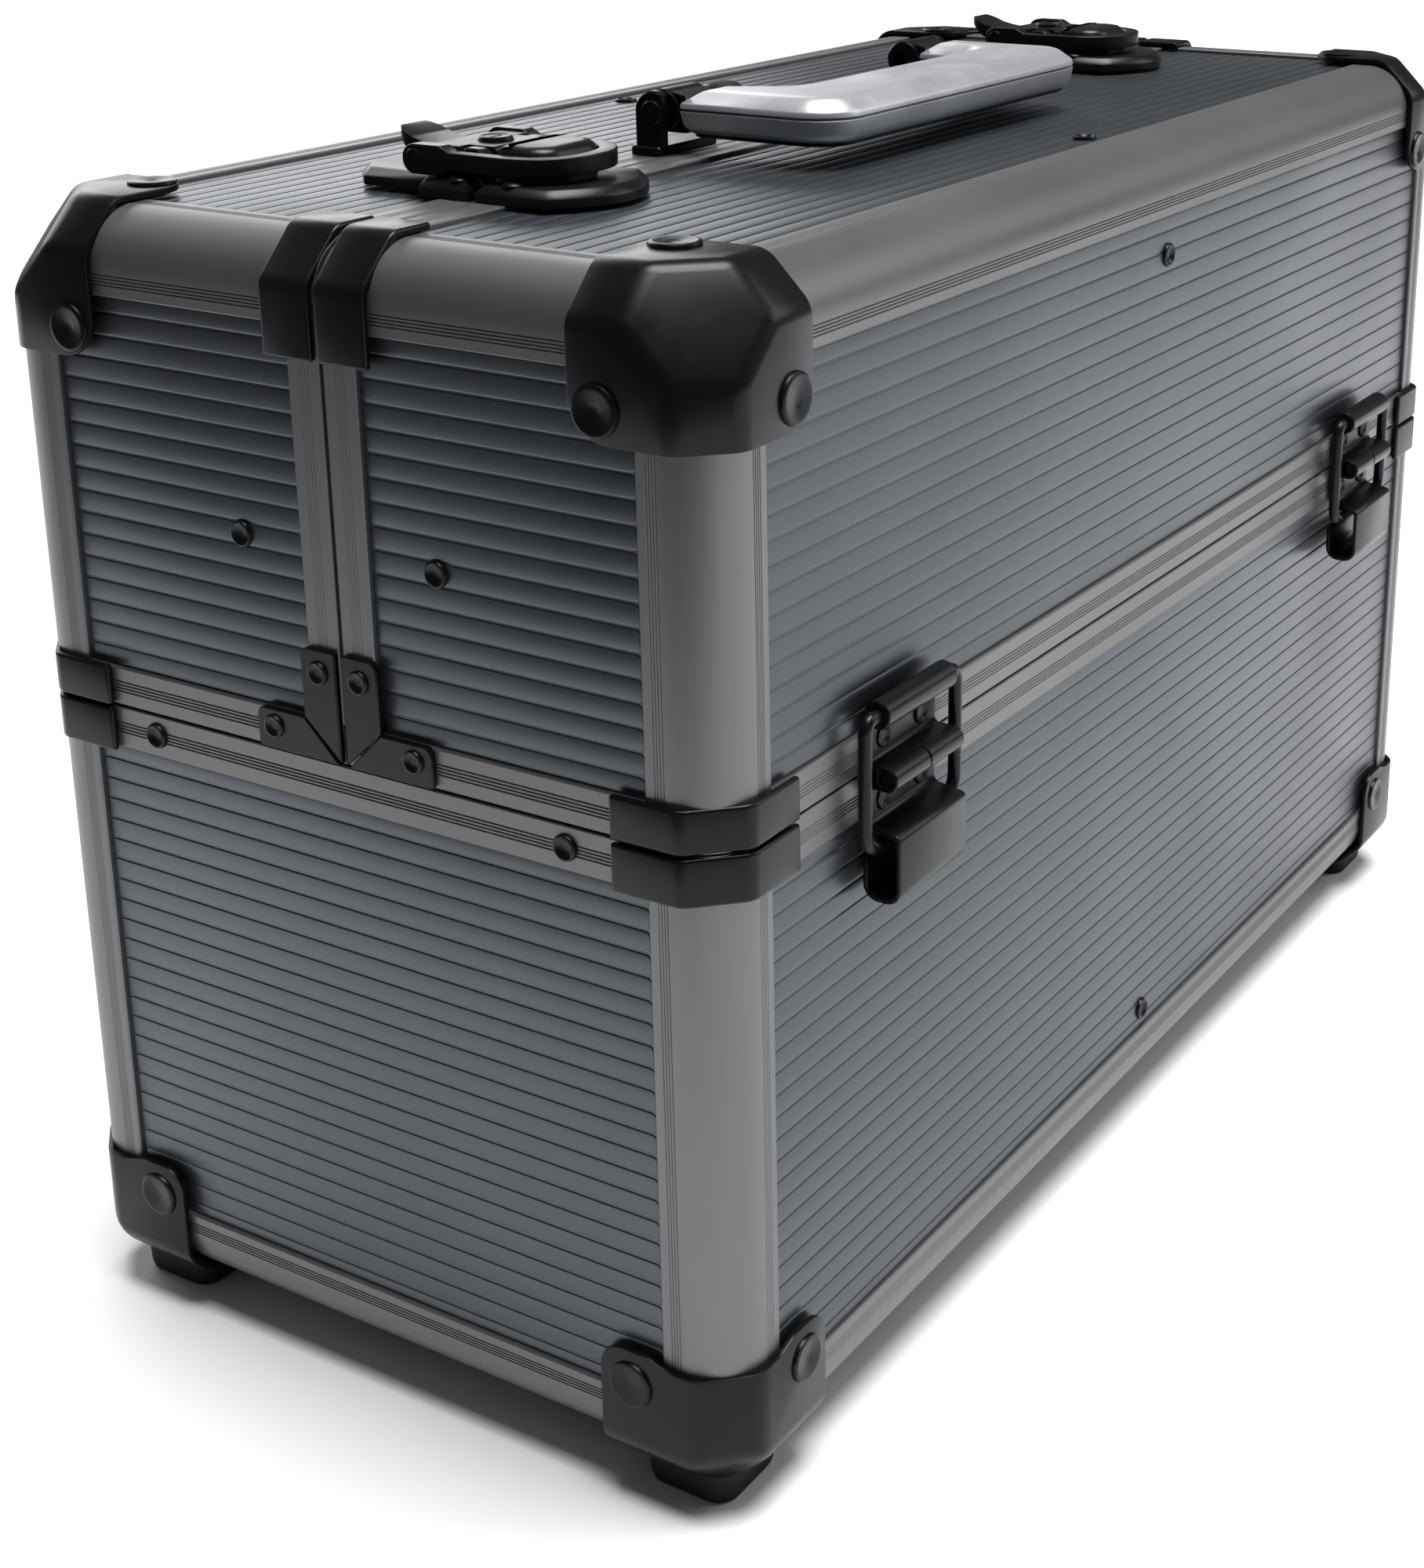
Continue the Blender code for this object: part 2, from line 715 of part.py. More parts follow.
def handle_lower():
    y, z = HANDLE_AXIS
    body = prism(grip_outline(y), "Z", GRIP_LOW, GRIP_SEAM - 0.15)
    ends = ((HANDLE_LEFT, 1), (HANDLE_RIGHT, -1))
    hubs = []
    bores = []
    for outer, inward in ends:
        start, end = outer + 0.01 * inward, outer + inward * HANDLE_ARM - 0.01 * inward
        hubs.append(rod("X", (y, z), HUB_R, start, end, 20))
        bores.append(rod("X", (y, z), STUB_BORE, outer - inward, outer + inward * 7, 12))
    return cut(union(body, *hubs), *bores)


def handle_upper():
    return prism(grip_outline(HANDLE_AXIS[0] - HUB_R - 0.5), "Z", GRIP_SEAM + 0.15, GRIP_TOP)


def bracket(outer, inward):
    """A foot screwed to the back lid, with the ear that a handle arm turns on."""
    y, z = HANDLE_AXIS
    ear_in = outer - inward * EAR_GAP
    ear_out = ear_in - inward * EAR_T
    foot_in = outer + inward * HANDLE_ARM
    ear = box((ear_out, 0.8, PLATE_LOW), (ear_in, y + HUB_R, z))
    return union(
        ear,
        rod("X", (y, z), HUB_R, ear_out - 0.01 * inward, ear_in + 0.01 * inward, 20),
        box((ear_out, 0.81, PLATE_LOW), (foot_in, y + HUB_R - 0.01, PLATE_LOW + 2.0)),
        rod("X", (y, z), STUB_R, ear_in - inward, outer + inward * 6, 12),
    )


def bumper():
    """The domed rubber stop that the handle lands on when it is folded back."""
    bm = bmesh.new()
    radius, height, low = 5.5, 5.1, TOP - PANEL_INSET + FIT
    profile = [(radius, 0.0), (radius, 2.6), (4.6, 4.1), (2.6, height - 0.2)]
    sides = 16
    rings = []
    for r, h in profile:
        ring = []
        for i in range(sides):
            angle = 2 * math.pi * i / sides
            x = BUMPER[0] + r * math.cos(angle)
            ring.append(bm.verts.new((x, BUMPER[1] + r * math.sin(angle), low + h)))
        rings.append(ring)
    for a, b in zip(rings, rings[1:]):
        for i in range(sides):
            j = (i + 1) % sides
            bm.faces.new((a[i], a[j], b[j], b[i]))
    bm.faces.new(rings[0][::-1])
    bm.faces.new(rings[-1])
    return to_object(bm)


# --- assembly ---------------------------------------------------------------------------------

END_NAMES = {-1: "left", 1: "right"}
SIDE_NAMES = {-1: "front", 1: "back"}


def build_base():
    body = axis_empty("base", (0, 0, 0))
    piece("base_shell", base_shell(), "panel", body)
    piece("base_frame", base_frame(), "frame", body)
    for end, end_name in END_NAMES.items():
        for side, side_name in SIDE_NAMES.items():
            place = f"{side_name}_{end_name}"
            cap = moulding(base_form, end, side, BOTTOM - 9, BOTTOM + BASE_CAP_HIGH, CAP_REACH, CAP_LOBE)
            piece(f"bottom_cap_{place}", cap, "moulding", body)
            rim = band(end, side, SEAM - BASE_RIM + 0.2, SEAM - SEAM_GAP - 0.05, base_form)
            piece(f"base_rim_corner_{place}", rim, "moulding", body)
            piece(f"foot_{place}", foot(end, side), "rubber", body)
            centre = end * HINGE_X
            axis = (centre, side * HINGE_OUT, SEAM)
            leaf = lower_leaf(centre, side)
            piece(f"hinge_lower_leaf_{place}", leaf, "blackened_steel", body, axis)
    return body


def build_half(side, base):
    name = SIDE_NAMES[side]
    lid = axis_empty(f"lid_{name}", (0, side * HINGE_OUT, SEAM), base)
    piece(f"lid_shell_{name}", lid_shell(side), "panel", lid)
    piece(f"lid_frame_{name}", lid_frame(side), "frame", lid)
    roll = (0, side * ROLL_OUT, SEAM + ROLL_UP)
    bails = axis_empty(f"bails_{name}", roll, lid)
    hung = hung_pivot()
    tray_axis = axis_empty(f"tray_axis_{name}", (0, side * hung[0], hung[1]), lid)
    piece(f"tray_{name}", tray(side), "tray_plastic", tray_axis)
    low = (0, side * BASE_PIVOT[0], BASE_PIVOT[1])
    arms = axis_empty(f"arms_{name}", low, base)
    for end, end_name in END_NAMES.items():
        place = f"{name}_{end_name}"
        cap = moulding(
            lambda grow: lid_form(side, grow), end, side, TOP - CAP_REACH, TOP + 9, CAP_REACH, CAP_LOBE
        )
        piece(f"top_cap_{place}", cap, "moulding", lid)
        rim = band(
            end,
            side,
            SEAM + SEAM_GAP + 0.05,
            SEAM + LID_RIM - 0.2,
            lambda grow: lid_form(side, grow),
        )
        piece(f"lid_rim_corner_{place}", rim, "moulding", lid)
        centre = end * HINGE_X
        axis = (centre, side * HINGE_OUT, SEAM)
        piece(f"hinge_upper_leaf_{place}", upper_leaf(centre, side), "blackened_steel", lid, axis)
        top = (centre, side * ROLL_OUT, SEAM + ROLL_UP)
        piece(f"stay_bail_{place}", bail(centre, side), "blackened_steel", bails, top)
        pivot = (end * ARM_IN, side * BASE_PIVOT[0], BASE_PIVOT[1])
        piece(f"tray_arm_{place}", arm(end, side), "steel", arms, pivot)
    return lid


def build_latches(lid_front, lid_back):
    for end, name in END_NAMES.items():
        centre = end * LATCH_X
        piece(f"latch_strike_{name}", strike(centre), "blackened_steel", lid_front)
        piece(f"latch_plate_{name}", latch_plate(centre), "blackened_steel", lid_back)
        pivot = (centre, *LEVER_AXIS)
        lever_axis = axis_empty(f"lever_axis_{name}", pivot, lid_back)
        piece(f"latch_lever_{name}", lever(centre), "blackened_steel", lever_axis, pivot)
        pin = (centre, *LOOP_PIN)
        loop_axis = axis_empty(f"loop_axis_{name}", pin, lever_axis)
        piece(f"latch_loop_{name}", loop(centre), "blackened_steel", loop_axis, pin)
        top = (centre, KEY_Y, TOP + 11.0)
        key_axis = axis_empty(f"key_axis_{name}", top, lever_axis)
        piece(f"latch_key_plug_{name}", key_plug(centre), "blackened_steel", key_axis, top)


def build_handle(lid_back):
    pivot = ((HANDLE_LEFT + HANDLE_RIGHT) / 2, *HANDLE_AXIS)
    handle = axis_empty("handle_axis", pivot, lid_back)
    piece("handle_lower", handle_lower(), "handle_silver", handle, pivot)
    piece("handle_upper", handle_upper(), "handle_silver", handle, pivot)
    piece("handle_bracket_left", bracket(HANDLE_LEFT, 1), "moulding", lid_back)
    piece("handle_bracket_right", bracket(HANDLE_RIGHT, -1), "moulding", lid_back)
    piece("handle_bumper", bumper(), "rubber", lid_back)


def main():
    clear_scene()
    base = build_base()
    front = build_half(-1, base)
    back = build_half(1, base)
    build_latches(front, back)
    build_handle(back)


main()
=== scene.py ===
"""Looks of the art supply box: its aluminium rails, ribbed panels, mouldings, hinges, latches and handle.

Every piece is built in millimetres in the frame's own axes: X along the box, -Y its front, +Z up.
"""

import json
import math

import bmesh
import bpy
from mathutils import Matrix, Vector


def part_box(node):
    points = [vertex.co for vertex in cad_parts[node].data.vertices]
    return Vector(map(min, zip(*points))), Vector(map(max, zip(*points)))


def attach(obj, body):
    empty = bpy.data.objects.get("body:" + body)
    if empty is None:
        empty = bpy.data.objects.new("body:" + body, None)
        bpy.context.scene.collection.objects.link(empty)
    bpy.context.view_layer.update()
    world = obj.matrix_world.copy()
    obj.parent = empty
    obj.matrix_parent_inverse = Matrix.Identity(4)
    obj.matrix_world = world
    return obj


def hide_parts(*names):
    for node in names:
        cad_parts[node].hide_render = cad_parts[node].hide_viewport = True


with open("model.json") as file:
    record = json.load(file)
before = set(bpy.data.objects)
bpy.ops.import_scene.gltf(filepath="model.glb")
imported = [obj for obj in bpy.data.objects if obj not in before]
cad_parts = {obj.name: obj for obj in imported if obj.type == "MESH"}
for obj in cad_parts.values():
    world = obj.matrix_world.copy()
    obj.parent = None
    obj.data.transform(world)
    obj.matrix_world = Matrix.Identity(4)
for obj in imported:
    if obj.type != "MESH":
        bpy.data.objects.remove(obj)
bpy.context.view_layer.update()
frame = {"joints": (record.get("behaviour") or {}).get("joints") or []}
MM = 0.001
TOUCH = 0.01  # two places nearer than this are the same


def node_box(node):
    """A CAD node's lowest and highest corners, in millimetres."""
    low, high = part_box(node)
    return low / MM, high / MM


# --- sizes read from the frame ---

FRAME_LOW, FRAME_HIGH = node_box("base_frame")
LID_LOW, LID_HIGH = node_box("lid_frame_back")
HALF_X, HALF_Y = FRAME_HIGH.x, FRAME_HIGH.y
BOTTOM, TOP = FRAME_LOW.z, LID_HIGH.z
BASE_EDGE, LID_EDGE, SPLIT = FRAME_HIGH.z, LID_LOW.z, LID_LOW.y
SEAM = (BASE_EDGE + LID_EDGE) / 2
LATCHES = {
    name: sum(node_box(f"latch_strike_{name}"), Vector()).x / 2 for name in ("left", "right")
}
HINGES = {
    name: sum(node_box(f"hinge_lower_leaf_front_{name}"), Vector()).x / 2
    for name in ("left", "right")
}

# Sizes of what the looks add to the frame
ROUND = 12.5  # radius of the edge extrusions
FLANGE = 17.5  # from an outer face to the edge of its panel
RAIL_WALL = 2.8
BASE_RIM, LID_RIM, SPLIT_RAIL = 10.0, 9.1, 9.0
PANEL_INSET = 1.0
RIB_PITCH, RIB_GAP, RIB_HIGH = 5.0, 0.36, 0.22
FIRST_RIB, LEAST_RIB = 3.7, 1.2  # the first rib is narrower, and what is left over isn't filled
SKIN = 1.8  # how far the mouldings stand out from the rails
CAP_REACH, CAP_DISC = 31.0, 24.5
PAST = 9.0  # how far cutting blocks reach past the faces
BAND_REACH = 25.0
LID_RIVET_Y, LID_RIVET_Z = 26.0, BOTTOM + 190.3
FLOOR = (-560.0, 3000.0, -3000.0, 1500.0)  # left, right, front, back
NOISE_RANGE = (0.3, 0.7)  # most of a noise texture lies in this
ENDS = {"left": -1, "right": 1}
SIDES = {"front": -1, "back": 1}

# --- meshes ---

AXES = {"X": Vector((1, 0, 0)), "Y": Vector((0, 1, 0)), "Z": Vector((0, 0, 1))}
FACE_AXES = {
    "front": ("X", "Z", "Y", -1),
    "back": ("X", "Z", "Y", 1),
    "left": ("Y", "Z", "X", -1),
    "right": ("Y", "Z", "X", 1),
    "top": ("X", "Y", "Z", 1),
    "bottom": ("X", "Y", "Z", -1),
}


def face_matrix(face):
    """Turns (across, up, out) on a face of the box into X, Y and Z. Out is measured from the middle."""
    across, up, out, sign = FACE_AXES[face]
    columns = (AXES[across], AXES[up], AXES[out] * sign)
    return Matrix([[c[i] for c in columns] for i in range(3)])


def add_loft(bm, rings, cyclic=False):
    """Faces between rings with the same number of points. A ring of one point closes to a tip."""
    made = [[bm.verts.new(p) for p in ring] for ring in rings]
    pairs = list(zip(made, made[1:]))
    if cyclic:
        pairs.append((made[-1], made[0]))
    for a, b in pairs:
        for i in range(max(len(a), len(b))):
            j = (i + 1) % max(len(a), len(b))
            corners = [a[i % len(a)], a[j % len(a)], b[j % len(b)], b[i % len(b)]]
            bm.faces.new(list(dict.fromkeys(corners)))
    if not cyclic:
        for ring in (made[0], made[-1]):
            if len(ring) > 2:
                bm.faces.new(ring)


def across(axis, point, at):
    """A 2-D point drawn across an axis, at a place along it."""
    a, b = point
    return {"X": (at, a, b), "Y": (a, at, b), "Z": (a, b, at)}[axis]


def add_prism(bm, outline, axis, start, end):
    add_loft(bm, [[across(axis, p, at) for p in outline] for at in (start, end)])


def rectangle(x0, x1, y0, y1):
    return [(x0, y0), (x1, y0), (x1, y1), (x0, y1)]


def add_box(bm, low, high):
    a, b = Vector(low), Vector(high)
    add_prism(bm, rectangle(a.x, b.x, a.y, b.y), "Z", a.z, b.z)


def circle(radius, sides, centre=(0, 0)):
    turns = [2 * math.pi * (i + 0.5) / sides for i in range(sides)]
    return [(centre[0] + radius * math.cos(t), centre[1] + radius * math.sin(t)) for t in turns]


def add_rod(bm, axis, centre, radius, start, end, sides=32, soft=0.0):
    """A round bar, its ends softened by a small chamfer."""
    step = soft if end > start else -soft
    thin = radius - soft
    sections = ((start, thin), (start + step, radius), (end - step, radius), (end, thin))
    rings = [[across(axis, p, at) for p in circle(r, sides, centre)] for at, r in sections]
    add_loft(bm, rings if soft else rings[1:3])


def add_tube(bm, axis, centre, outer, inner, start, end, sides=32, soft=0.25):
    """A tube with softened edges."""
    step = soft if end > start else -soft
    sections = [
        (inner, start), (outer - soft, start), (outer, start + step),
        (outer, end - step), (outer - soft, end), (inner, end),
    ]
    rings = [[across(axis, p, at) for p in circle(r, sides, centre)] for r, at in sections]
    add_loft(bm, rings, cyclic=True)


def add_turned(bm, face, centre, base, profile, sides=32):
    """A round detail on a face: profile is (radius, height) from its edge to its middle."""
    matrix = face_matrix(face)
    rings = []
    for radius, height in profile:
        points = circle(radius, sides, centre) if radius else [centre]
        rings.append([matrix @ Vector((u, v, base + height)) for u, v in points])
    add_loft(bm, rings)


def turn_point(a, b, c, radius, steps):
    """The points of a round corner at b, between a and c."""
    a, b, c = Vector(a), Vector(b), Vector(c)
    to_a, to_c = (a - b), (c - b)
    angle = to_a.angle(to_c)
    if angle > math.radians(178):
        return [tuple(b)]
    reach = min(radius / math.tan(angle / 2), to_a.length * 0.49, to_c.length * 0.49)
    start, end = b + to_a.normalized() * reach, b + to_c.normalized() * reach
    middle = b + (to_a.normalized() + to_c.normalized()).normalized() * (reach / math.cos(angle / 2))
    r = reach * math.tan(angle / 2)
    points = []
    for i in range(steps + 1):
        way = (start - middle).normalized().slerp((end - middle).normalized(), i / steps)
        points.append(tuple(middle + way * r))
    return points


def soften(points, radius, steps=4, closed=True):
    """An outline with its corners rounded. radius is one number, or one for each corner."""
    count = len(points)
    radii = radius if isinstance(radius, (list, tuple)) else [radius] * count
    made = []
    for i, point in enumerate(points):
        at_end = not closed and i in (0, count - 1)
        if at_end or radii[i] == 0:
            made.append(tuple(point))
            continue
        made += turn_point(points[i - 1], point, points[(i + 1) % count], radii[i], steps)
    return made


def inset(outline, distance):
    """An outline moved inward, corner by corner."""
    area = sum(a[0] * b[1] - b[0] * a[1] for a, b in zip(outline, outline[1:] + outline[:1]))
    turn = 1 if area > 0 else -1
    made = []
    for i, point in enumerate(outline):
        p = Vector(point)
        before = (p - Vector(outline[i - 1])).normalized()
        after = (Vector(outline[(i + 1) % len(outline)]) - p).normalized()
        n1 = Vector((-before.y, before.x)) * turn
        n2 = Vector((-after.y, after.x)) * turn
        made.append(tuple(p + (n1 + n2) * (distance / max(1 + n1.dot(n2), 0.3))))
    return made


def ribbon(path, thickness):
    """The outline of a bent sheet whose one face follows a path, as thick as given to its left."""
    other = []
    for i, point in enumerate(path):
        before = Vector(path[i]) - Vector(path[i - 1]) if i else Vector(path[1]) - Vector(path[0])
        after = Vector(path[i + 1]) - Vector(path[i]) if i + 1 < len(path) else before
        n1 = Vector((-before.y, before.x)).normalized()
        n2 = Vector((-after.y, after.x)).normalized()
        other.append(tuple(Vector(point) + (n1 + n2) * (thickness / (1 + n1.dot(n2)))))
    return list(path) + other[::-1]


def add_plate(bm, outline, axis, levels):
    """An outline built up in levels of (place along the axis, inset)."""
    rings = [[across(axis, p, at) for p in inset(outline, by)] for at, by in levels]
    add_loft(bm, rings)


def linked(name, data):
    """A new object in the scene."""
    made = bpy.data.objects.new(name, data)
    bpy.context.scene.collection.objects.link(made)
    return made


def to_object(bm, name="solid"):
    """A linked object, in metres, with its faces turned outward."""
    bmesh.ops.recalc_face_normals(bm, faces=bm.faces)
    bmesh.ops.scale(bm, vec=(MM, MM, MM), verts=bm.verts)
    mesh = bpy.data.meshes.new(name)
    bm.to_mesh(mesh)
    bm.free()
    return linked(name, mesh)


def solid(add, *args, **named):
    bm = bmesh.new()
    add(bm, *args, **named)
    return to_object(bm)


def settled(target):
    """Applies the object's modifiers."""
    bpy.context.view_layer.update()
    graph = bpy.context.evaluated_depsgraph_get()
    mesh = bpy.data.meshes.new_from_object(target.evaluated_get(graph))
    target.modifiers.clear()
    target.data = mesh
    return target


def boolean(target, operation, tools):
    for tool in tools:
        modifier = target.modifiers.new(operation.title(), "BOOLEAN")
        modifier.operation, modifier.solver, modifier.object = operation, "EXACT", tool
    settled(target)
    for tool in tools:
        bpy.data.objects.remove(tool, do_unlink=True)
    return target


def union(target, *tools):
    return boolean(target, "UNION", tools)


def cut(target, *tools):
    return boolean(target, "DIFFERENCE", tools)


def keep(target, tool):
    return boolean(target, "INTERSECT", [tool])


def rounded_box(low, high, radius, chosen, steps=6, facets=()):
    """A box with some edges rounded, and any corner cut off by a facet (point, direction)."""
    bm = bmesh.new()
    add_box(bm, map(min, low, high), map(max, low, high))
    edges = []
    for edge in bm.edges:
        middle = (edge.verts[0].co + edge.verts[1].co) / 2
        along = (edge.verts[1].co - edge.verts[0].co).normalized()
        if chosen(middle, along):
            edges.append(edge)
    bmesh.ops.bevel(bm, geom=edges, offset=radius, segments=steps, profile=0.5, affect="EDGES")
    for point, direction in facets:
        slice_off(bm, point, direction)
    return to_object(bm)


def slice_off(bm, point, direction):
    """Cuts away what lies past a plane, and closes the cut."""
    geometry = bm.verts[:] + bm.edges[:] + bm.faces[:]
    made = bmesh.ops.bisect_plane(bm, geom=geometry, plane_co=point, plane_no=direction, clear_outer=True)
    edges = [e for e in made["geom_cut"] if isinstance(e, bmesh.types.BMEdge)]
    if edges:
        bmesh.ops.holes_fill(bm, edges=edges)


def round_edges(made, width, segments, sharp):
    """Rounds the edges that turn by more than an angle in degrees. width is in millimetres."""
    modifier = made.modifiers.new("Soft edges", "BEVEL")
    modifier.width = width * MM
    modifier.segments = segments
    modifier.limit_method = "ANGLE"
    modifier.angle_limit = math.radians(sharp)
    settled(made)


def add_on(target, extra, bevel, segments=2):
    """Softens the target's edges, then adds the details in a bmesh to it."""
    round_edges(target, bevel, segments, 50)
    extra = to_object(extra)
    bm = bmesh.new()
    bm.from_mesh(target.data)
    bm.from_mesh(extra.data)
    bm.to_mesh(target.data)
    bm.free()
    bpy.data.objects.remove(extra, do_unlink=True)


def hang(made, name, look, body, nodes=None, bevel=0.0, segments=2, sharp=35):
    """Hangs a mesh on its CAD body, in place of the node of its own name unless nodes are given."""
    if isinstance(made, bmesh.types.BMesh):
        made = to_object(made)
    made.name = name
    made.data.name = name
    if bevel:
        round_edges(made, bevel, segments, sharp)
    made.data.materials.clear()
    made.data.materials.append(look)
    made.data.shade_smooth()
    made.data.set_sharp_from_angle(angle=math.radians(sharp))
    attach(made, body)
    nodes = [name] if nodes is None else nodes
    if nodes:
        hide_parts(*nodes)


# --- materials ---


def set_inputs(node, values):
    """Sets a shader node's inputs by name."""
    for name, value in values.items():
        node.inputs[name].default_value = value
    return node


class Look:
    """A material: a Principled BSDF, with nodes that vary its colour, roughness and surface."""

    def __init__(self, name, colour, roughness, metallic=0.0, specular=0.5, sheen=0.0):
        self.material = bpy.data.materials.new(name)
        self.material.use_nodes = True
        self.nodes = self.material.node_tree.nodes
        self.links = self.material.node_tree.links
        self.shader = self.nodes["Principled BSDF"]
        self.colour = colour
        values = {
            "Base Color": (*colour, 1), "Roughness": roughness, "Metallic": metallic,
            "Specular IOR Level": specular, "Sheen Weight": sheen,
        }
        set_inputs(self.shader, values)
        self.place = self.nodes.new("ShaderNodeTexCoord")

    def noise(self, scale, detail=4.0, roughness=0.55, stretch=(1, 1, 1)):
        """Noise in the object's own space. scale is in features per metre."""
        mapping = set_inputs(self.nodes.new("ShaderNodeMapping"), {"Scale": stretch})
        values = {"Scale": scale, "Detail": detail, "Roughness": roughness}
        noise = set_inputs(self.nodes.new("ShaderNodeTexNoise"), values)
        self.links.new(self.place.outputs["Object"], mapping.inputs["Vector"])
        self.links.new(mapping.outputs["Vector"], noise.inputs["Vector"])
        return noise.outputs["Fac"]

    def tint(self, value, dark, light):
        """Varies the colour between the base colour times dark and times light."""
        ramp = self.nodes.new("ShaderNodeValToRGB")
        for i, times in enumerate((dark, light)):
            element = ramp.color_ramp.elements[i]
            element.position = NOISE_RANGE[i]
            element.color = (*[c * times for c in self.colour], 1)
        self.links.new(value, ramp.inputs["Fac"])
        self.links.new(ramp.outputs["Color"], self.shader.inputs["Base Color"])

    def rough(self, value, low, high):
        """Varies the roughness between low and high."""
        start, end = NOISE_RANGE
        values = {"From Min": start, "From Max": end, "To Min": low, "To Max": high}
        node = set_inputs(self.nodes.new("ShaderNodeMapRange"), values)
        self.links.new(value, node.inputs["Value"])
        self.links.new(node.outputs["Result"], self.shader.inputs["Roughness"])

    def bump(self, value, height):
        """Adds relief. height is in millimetres."""
        values = {"Distance": height * MM, "Strength": 1.0}
        bump = set_inputs(self.nodes.new("ShaderNodeBump"), values)
        self.links.new(value, bump.inputs["Height"])
        self.links.new(bump.outputs["Normal"], self.shader.inputs["Normal"])


def brushed_metal(name, axis, colour, roughness, metallic):
    """Anodised metal with a fine grain along one axis."""
    look = Look(name, colour, roughness, metallic)
    stretch = [1.0 if name == axis else 40.0 for name in "XYZ"]
    grain = look.noise(60, 3.0, stretch=stretch)
    clouds = look.noise(14, 3.0)
    look.tint(grain, 0.97, 1.03)
    look.rough(clouds, roughness - 0.03, roughness + 0.05)
    look.bump(grain, 0.003)
    return look.material


def moulded(name, colour, roughness, grain, metallic=0.0, specular=0.5):
    """Moulded or coated surface with a fine pebbled skin and slightly uneven gloss."""
    look = Look(name, colour, roughness, metallic, specular)
    skin = look.noise(1500, 2.0)
    scuffs = look.noise(60, 6.0, 0.7)
    look.tint(scuffs, 0.9, 1.12)
    look.rough(scuffs, roughness - 0.03, roughness + 0.06)
    look.bump(skin, grain)
    return look.material


def felt(name, colour):
    look = Look(name, colour, 0.95, sheen=0.4)
    fibres = look.noise(900, 5.0, 0.7)
    clouds = look.noise(40, 3.0)
    look.tint(clouds, 0.8, 1.2)
    look.rough(fibres, 0.9, 1.0)
    look.bump(fibres, 0.25)
    return look.material


PANEL_COLOUR = (0.077, 0.085, 0.097)
RAIL_COLOUR = (0.156, 0.15, 0.15)
PANEL_X = brushed_metal("panel_along_x", "X", PANEL_COLOUR, 0.36, 0.85)
PANEL_Y = brushed_metal("panel_along_y", "Y", PANEL_COLOUR, 0.36, 0.85)
RAILS = {
    axis: brushed_metal(f"anodised_along_{axis.lower()}", axis, RAIL_COLOUR, 0.42, 0.75)
    for axis in "XYZ"
}
MOULDING = moulded("black_moulding", (0.0035, 0.0035, 0.0038), 0.27, 0.002, specular=0.2)
STEEL = moulded("blackened_steel", (0.0035, 0.0035, 0.0038), 0.3, 0.001, specular=0.24)
BRIGHT = moulded("bright_steel", (0.55, 0.55, 0.56), 0.3, 0.004, 1.0)
SILVER = moulded("silver_grip", (0.47, 0.48, 0.5), 0.36, 0.003, 0.6)
RUBBER = moulded("rubber", (0.007, 0.007, 0.0075), 0.6, 0.03, specular=0.2)
TRAY = moulded("tray_plastic", (0.035, 0.035, 0.038), 0.45, 0.03)
LINING = felt("felt_lining", (0.03, 0.031, 0.034))

# --- rails ---


def grooves(first, last, lines, depth=0.25):
    """Points along a flat face, with fine grooves: (place, depth)."""
    pitch = (last - first) / lines
    points = []
    for i in range(lines):
        at = first + pitch * i
        points += [(at + pitch * 0.2, 0.0), (at + pitch * 0.5, depth), (at + pitch * 0.8, 0.0)]
    return points


def edge_profile():
    """An edge extrusion's section, as distances in from the two faces it joins."""
    face = [(FLANGE, RAIL_WALL), (FLANGE, 0.35), (FLANGE - 0.35, 0.0)]
    face += grooves(FLANGE - 2.1, ROUND + 0.1, 4)
    arc = []
    steps = 14
    for i in range(steps + 1):
        angle = math.pi / 2 * i / steps
        arc.append((ROUND - ROUND * math.sin(angle), ROUND - ROUND * math.cos(angle)))
    back = ROUND - RAIL_WALL
    inner = []
    for i in range(5):
        angle = math.pi / 2 * (1 - i / 4)
        inner.append((ROUND - back * math.sin(angle), ROUND - back * math.cos(angle)))
    mirrored = [(v, u) for u, v in face[::-1]]
    return face + arc + mirrored + inner


def flat_profile(low, high):
    """A flat rail's section: (place across it, depth below the face)."""
    middle = (low + high) / 2
    way = 1 if high > low else -1
    lines = grooves(middle - 1.5 * way, middle + 1.5 * way, 4)
    face = [(low, 0.3), (low + 0.3 * way, 0.0), *lines, (high - 0.3 * way, 0.0), (high, 0.3)]
    return face + [(high, RAIL_WALL), (low, RAIL_WALL)]


SHORT = 20.0  # how far the edge extrusions stop from a corner, under its cap
RAIL_X, RAIL_Y = HALF_X - SHORT, HALF_Y - SHORT
WINDOW_X, WINDOW_Y = HALF_X - FLANGE, HALF_Y - FLANGE  # half the size of the panels' openings
EDGE = edge_profile()


def rail_set(name, parts, axis, body, node):
    bm = bmesh.new()
    for outline, start, end in parts:
        add_prism(bm, outline, axis, start, end)
    hang(bm, name, RAILS[axis], body, [node], sharp=25)


